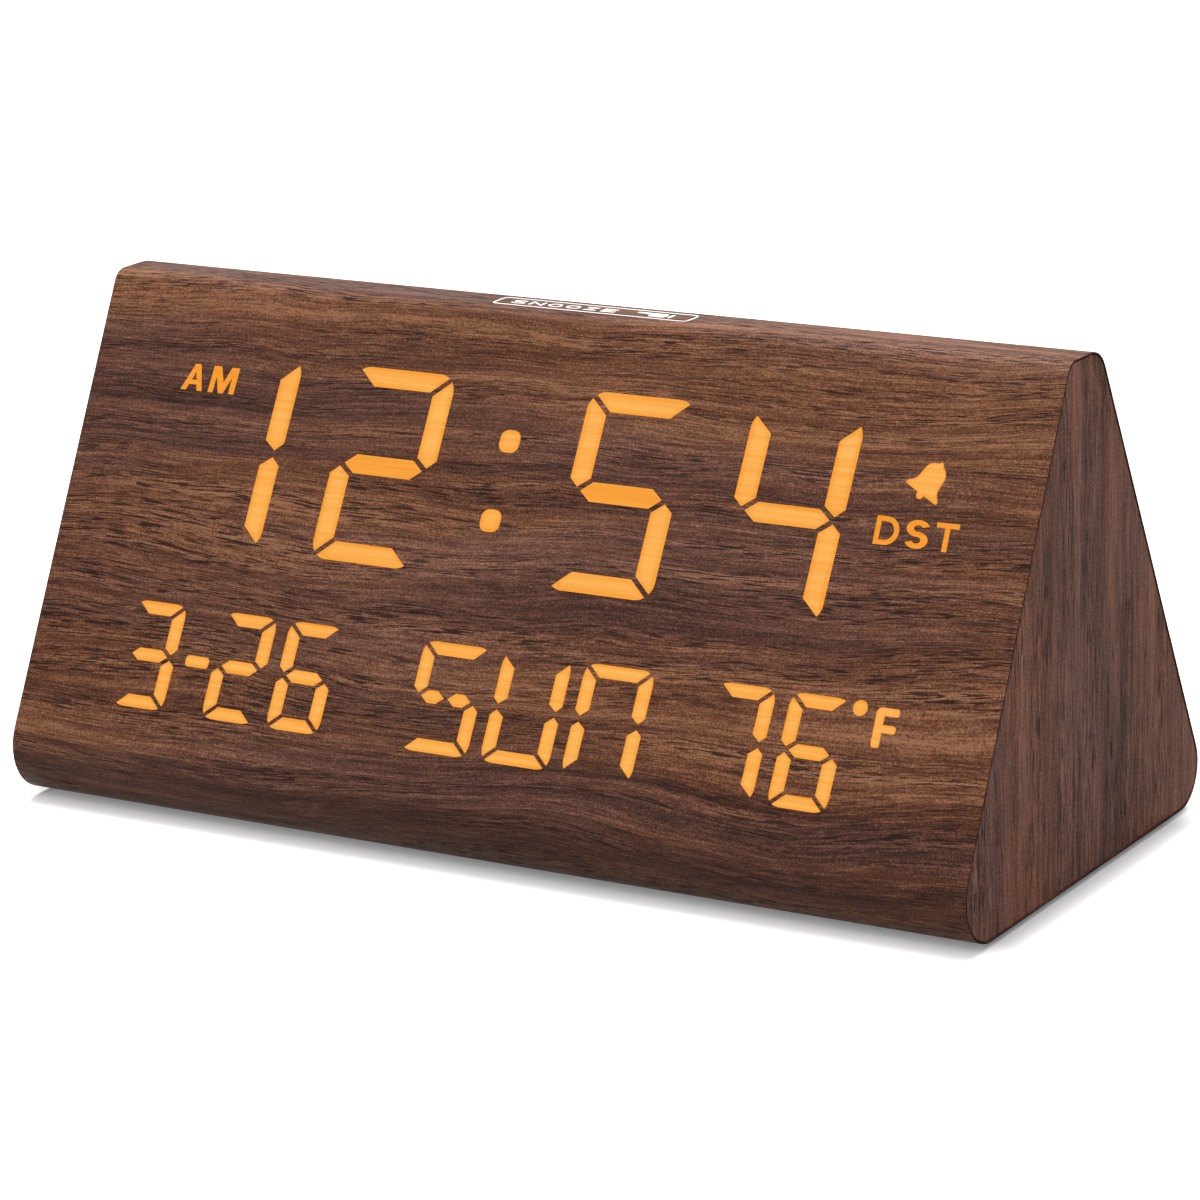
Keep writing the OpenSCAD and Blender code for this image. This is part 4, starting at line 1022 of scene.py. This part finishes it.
def make_door_screw():
    """The door's captive screw with a domed head and a cross recess."""
    bm = bmesh.new()
    bmesh.ops.create_circle(bm, segments=TURN_STEPS, radius=DOME_R)
    rim = bm.edges[:]
    reach, half = CROSS_REACH, CROSS_HALF
    cross = plate((-reach, -half), (-half, -half), (-half, -reach), (half, -reach),
                  (half, -half), (reach, -half), (reach, half), (half, half),
                  (half, reach), (-half, reach), (-half, half), (-reach, half))
    bmesh.ops.delete(cross, geom=cross.faces[:], context="FACES_ONLY")
    added(bm, cross)
    recess = [edge for edge in bm.edges if edge not in rim]
    bmesh.ops.triangle_fill(bm, use_beauty=True, edges=bm.edges[:], normal=(0, 0, 1))
    floor = bmesh.ops.extrude_edge_only(bm, edges=recess)
    bmesh.ops.translate(bm, vec=(0, 0, -CROSS_DEPTH), verts=verts_of(floor))
    bmesh.ops.edgeloop_fill(bm, edges=far_edges(floor))
    for scale, drop in SCREW_STEPS:
        skirt = bmesh.ops.extrude_edge_only(bm, edges=rim)
        bmesh.ops.scale(bm, vec=(scale, scale, 1), verts=verts_of(skirt))
        bmesh.ops.translate(bm, vec=(0, 0, drop), verts=verts_of(skirt))
        rim = far_edges(skirt)
    bmesh.ops.edgeloop_fill(bm, edges=rim)
    bmesh.ops.recalc_face_normals(bm, faces=bm.faces[:])
    place = PANEL @ Matrix.Translation((DOOR_SCREW_X, LOW_Y, -DOOR_SCREW_SINK))
    screw = piece("cover_screw", bm, "steel", "cell_cover", ["door_screw"], place)


def make_rear():
    for body, node, _, x in KEYS:
        make_key(body, node, x)
    make_knob()
    make_door_screw()
    make_panel_print()
    make_door_print()


# Studio: distances in metres, as name, place, width and power in watts for each light
WHITE = (1, 1, 1, 1)
SKY_FILL = 0.45
SOFTBOXES = (("front_softbox", (1.1, -1.3, 1.25), 1.2, 23), ("top_softbox", (-0.2, 0.1, 1.7), 1.5, 48))
FLOOR_REACH = 1.6
FLOOR_PALE = 0.82
FLOOR_DIM = 0.12
FLOOR_LIFT = 0.2

# A soft shadow painted on the floor beside the ends: where it starts and fades, its reach and its depth
END_X, TOE_Y = cad_box[1][:2]
PAINTED_SHADOW_START = (-0.002, -0.0008)
PAINTED_SHADOW_FADE = (-0.014, -0.002)
PAINTED_SHADOW_REACH = 0.007
PAINTED_SHADOW_DEPTH = 0.58


def seen_rays(graph):
    """1 for rays from the camera, a mirror or glass, and 0 for the rest."""
    path = graph.node("ShaderNodeLightPath")
    return path + path.out("Is Glossy Ray") + path.out("Is Transmission Ray")


def make_floor():
    """A floor that looks white, with a shadow painted beside the ends, and throws little light back at the
    part.
    """
    floor = Finish("pale_floor")
    seen = seen_rays(floor)
    spot = floor.node("ShaderNodeSeparateXYZ", {}, {"Vector": floor.place})
    past_end = abs(spot) - END_X
    past_toe = abs(spot.out("Y")) - TOE_Y
    # Painted shadow: the floor's colour and glow are darkened beside each end, fading out toward the toes
    painted_shadow_area = floor.rise(past_end, *PAINTED_SHADOW_START) * (1 - floor.rise(past_toe, *PAINTED_SHADOW_FADE))
    shade = 1 - painted_shadow_area * (1 - floor.rise(past_end, 0, PAINTED_SHADOW_REACH)) * PAINTED_SHADOW_DEPTH
    diffuse = floor.node("ShaderNodeBsdfDiffuse", {}, {"Color": seen * shade * FLOOR_PALE + FLOOR_DIM})
    lift = floor.node("ShaderNodeEmission", {}, {"Color": WHITE, "Strength": seen * shade * FLOOR_LIFT})
    both = floor.node("ShaderNodeAddShader", {}, {0: diffuse, 1: lift})
    floor.feed(floor.tree.nodes["Material Output"].inputs["Surface"], both)
    bm = bmesh.new()
    bmesh.ops.create_grid(bm, x_segments=1, y_segments=1, size=FLOOR_REACH)
    mesh = bpy.data.meshes.new("floor")
    bm.to_mesh(mesh)
    bm.free()
    mesh.materials.append(floor.material)
    item = bpy.data.objects.new("floor", mesh)
    bpy.context.scene.collection.objects.link(item)


def add_softbox(name, place, size, power):
    """A square light that faces the part."""
    lamp = bpy.data.lights.new(name, "AREA")
    lamp.size = size
    lamp.energy = power
    item = bpy.data.objects.new(name, lamp)
    item.location = place
    item.rotation_euler = (-Vector(place)).to_track_quat("-Z", "Y").to_euler()
    bpy.context.scene.collection.objects.link(item)


def make_studio():
    """A white room whose light on the part is weaker than it looks."""
    scene = bpy.context.scene
    scene.view_settings.view_transform = "Standard"
    scene.world = bpy.data.worlds.new("studio")
    scene.world.use_nodes = True
    sky = Graph(scene.world.node_tree)
    background = sky.tree.nodes["Background"]
    level = sky.node("ShaderNodeMapRange", {}, {"Value": seen_rays(sky), "To Min": SKY_FILL})
    sky.feed(background.inputs["Color"], WHITE)
    sky.feed(background.inputs["Strength"], level)
    for softbox in SOFTBOXES:
        add_softbox(*softbox)
    make_floor()


# The photo's camera: place and lens in millimetres, angles in degrees
CAMERA_AT = (433.42, -714.35, 272.96)
CAMERA_YAW = 31.169
CAMERA_PITCH = 15.611
CAMERA_ROLL = -1.659
LENS = 140.991
SENSOR_W = 36


def make_camera():
    view = bpy.data.cameras.new("photo_view")
    view.lens = LENS
    view.sensor_width = SENSOR_W
    item = bpy.data.objects.new("photo_view", view)
    yaw = Matrix.Rotation(radians(CAMERA_YAW), 4, "Z")
    pitch = Matrix.Rotation(radians(90 - CAMERA_PITCH), 4, "X")
    roll = Matrix.Rotation(radians(CAMERA_ROLL), 4, "Z")
    item.matrix_world = Matrix.Translation(Vector(CAMERA_AT) * MM) @ yaw @ pitch @ roll
    bpy.context.scene.collection.objects.link(item)
    bpy.context.scene.camera = item


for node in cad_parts.values():
    for index, old in enumerate(node.data.materials):
        node.data.materials[index] = FINISHES[old.name]
make_film()
make_end_panel("left_end", "end_panel_left", -1)
make_end_panel("right_end", "end_panel_right", 1)
make_feet()
make_display()
make_touch_print()
make_rear()
make_studio()
make_camera()
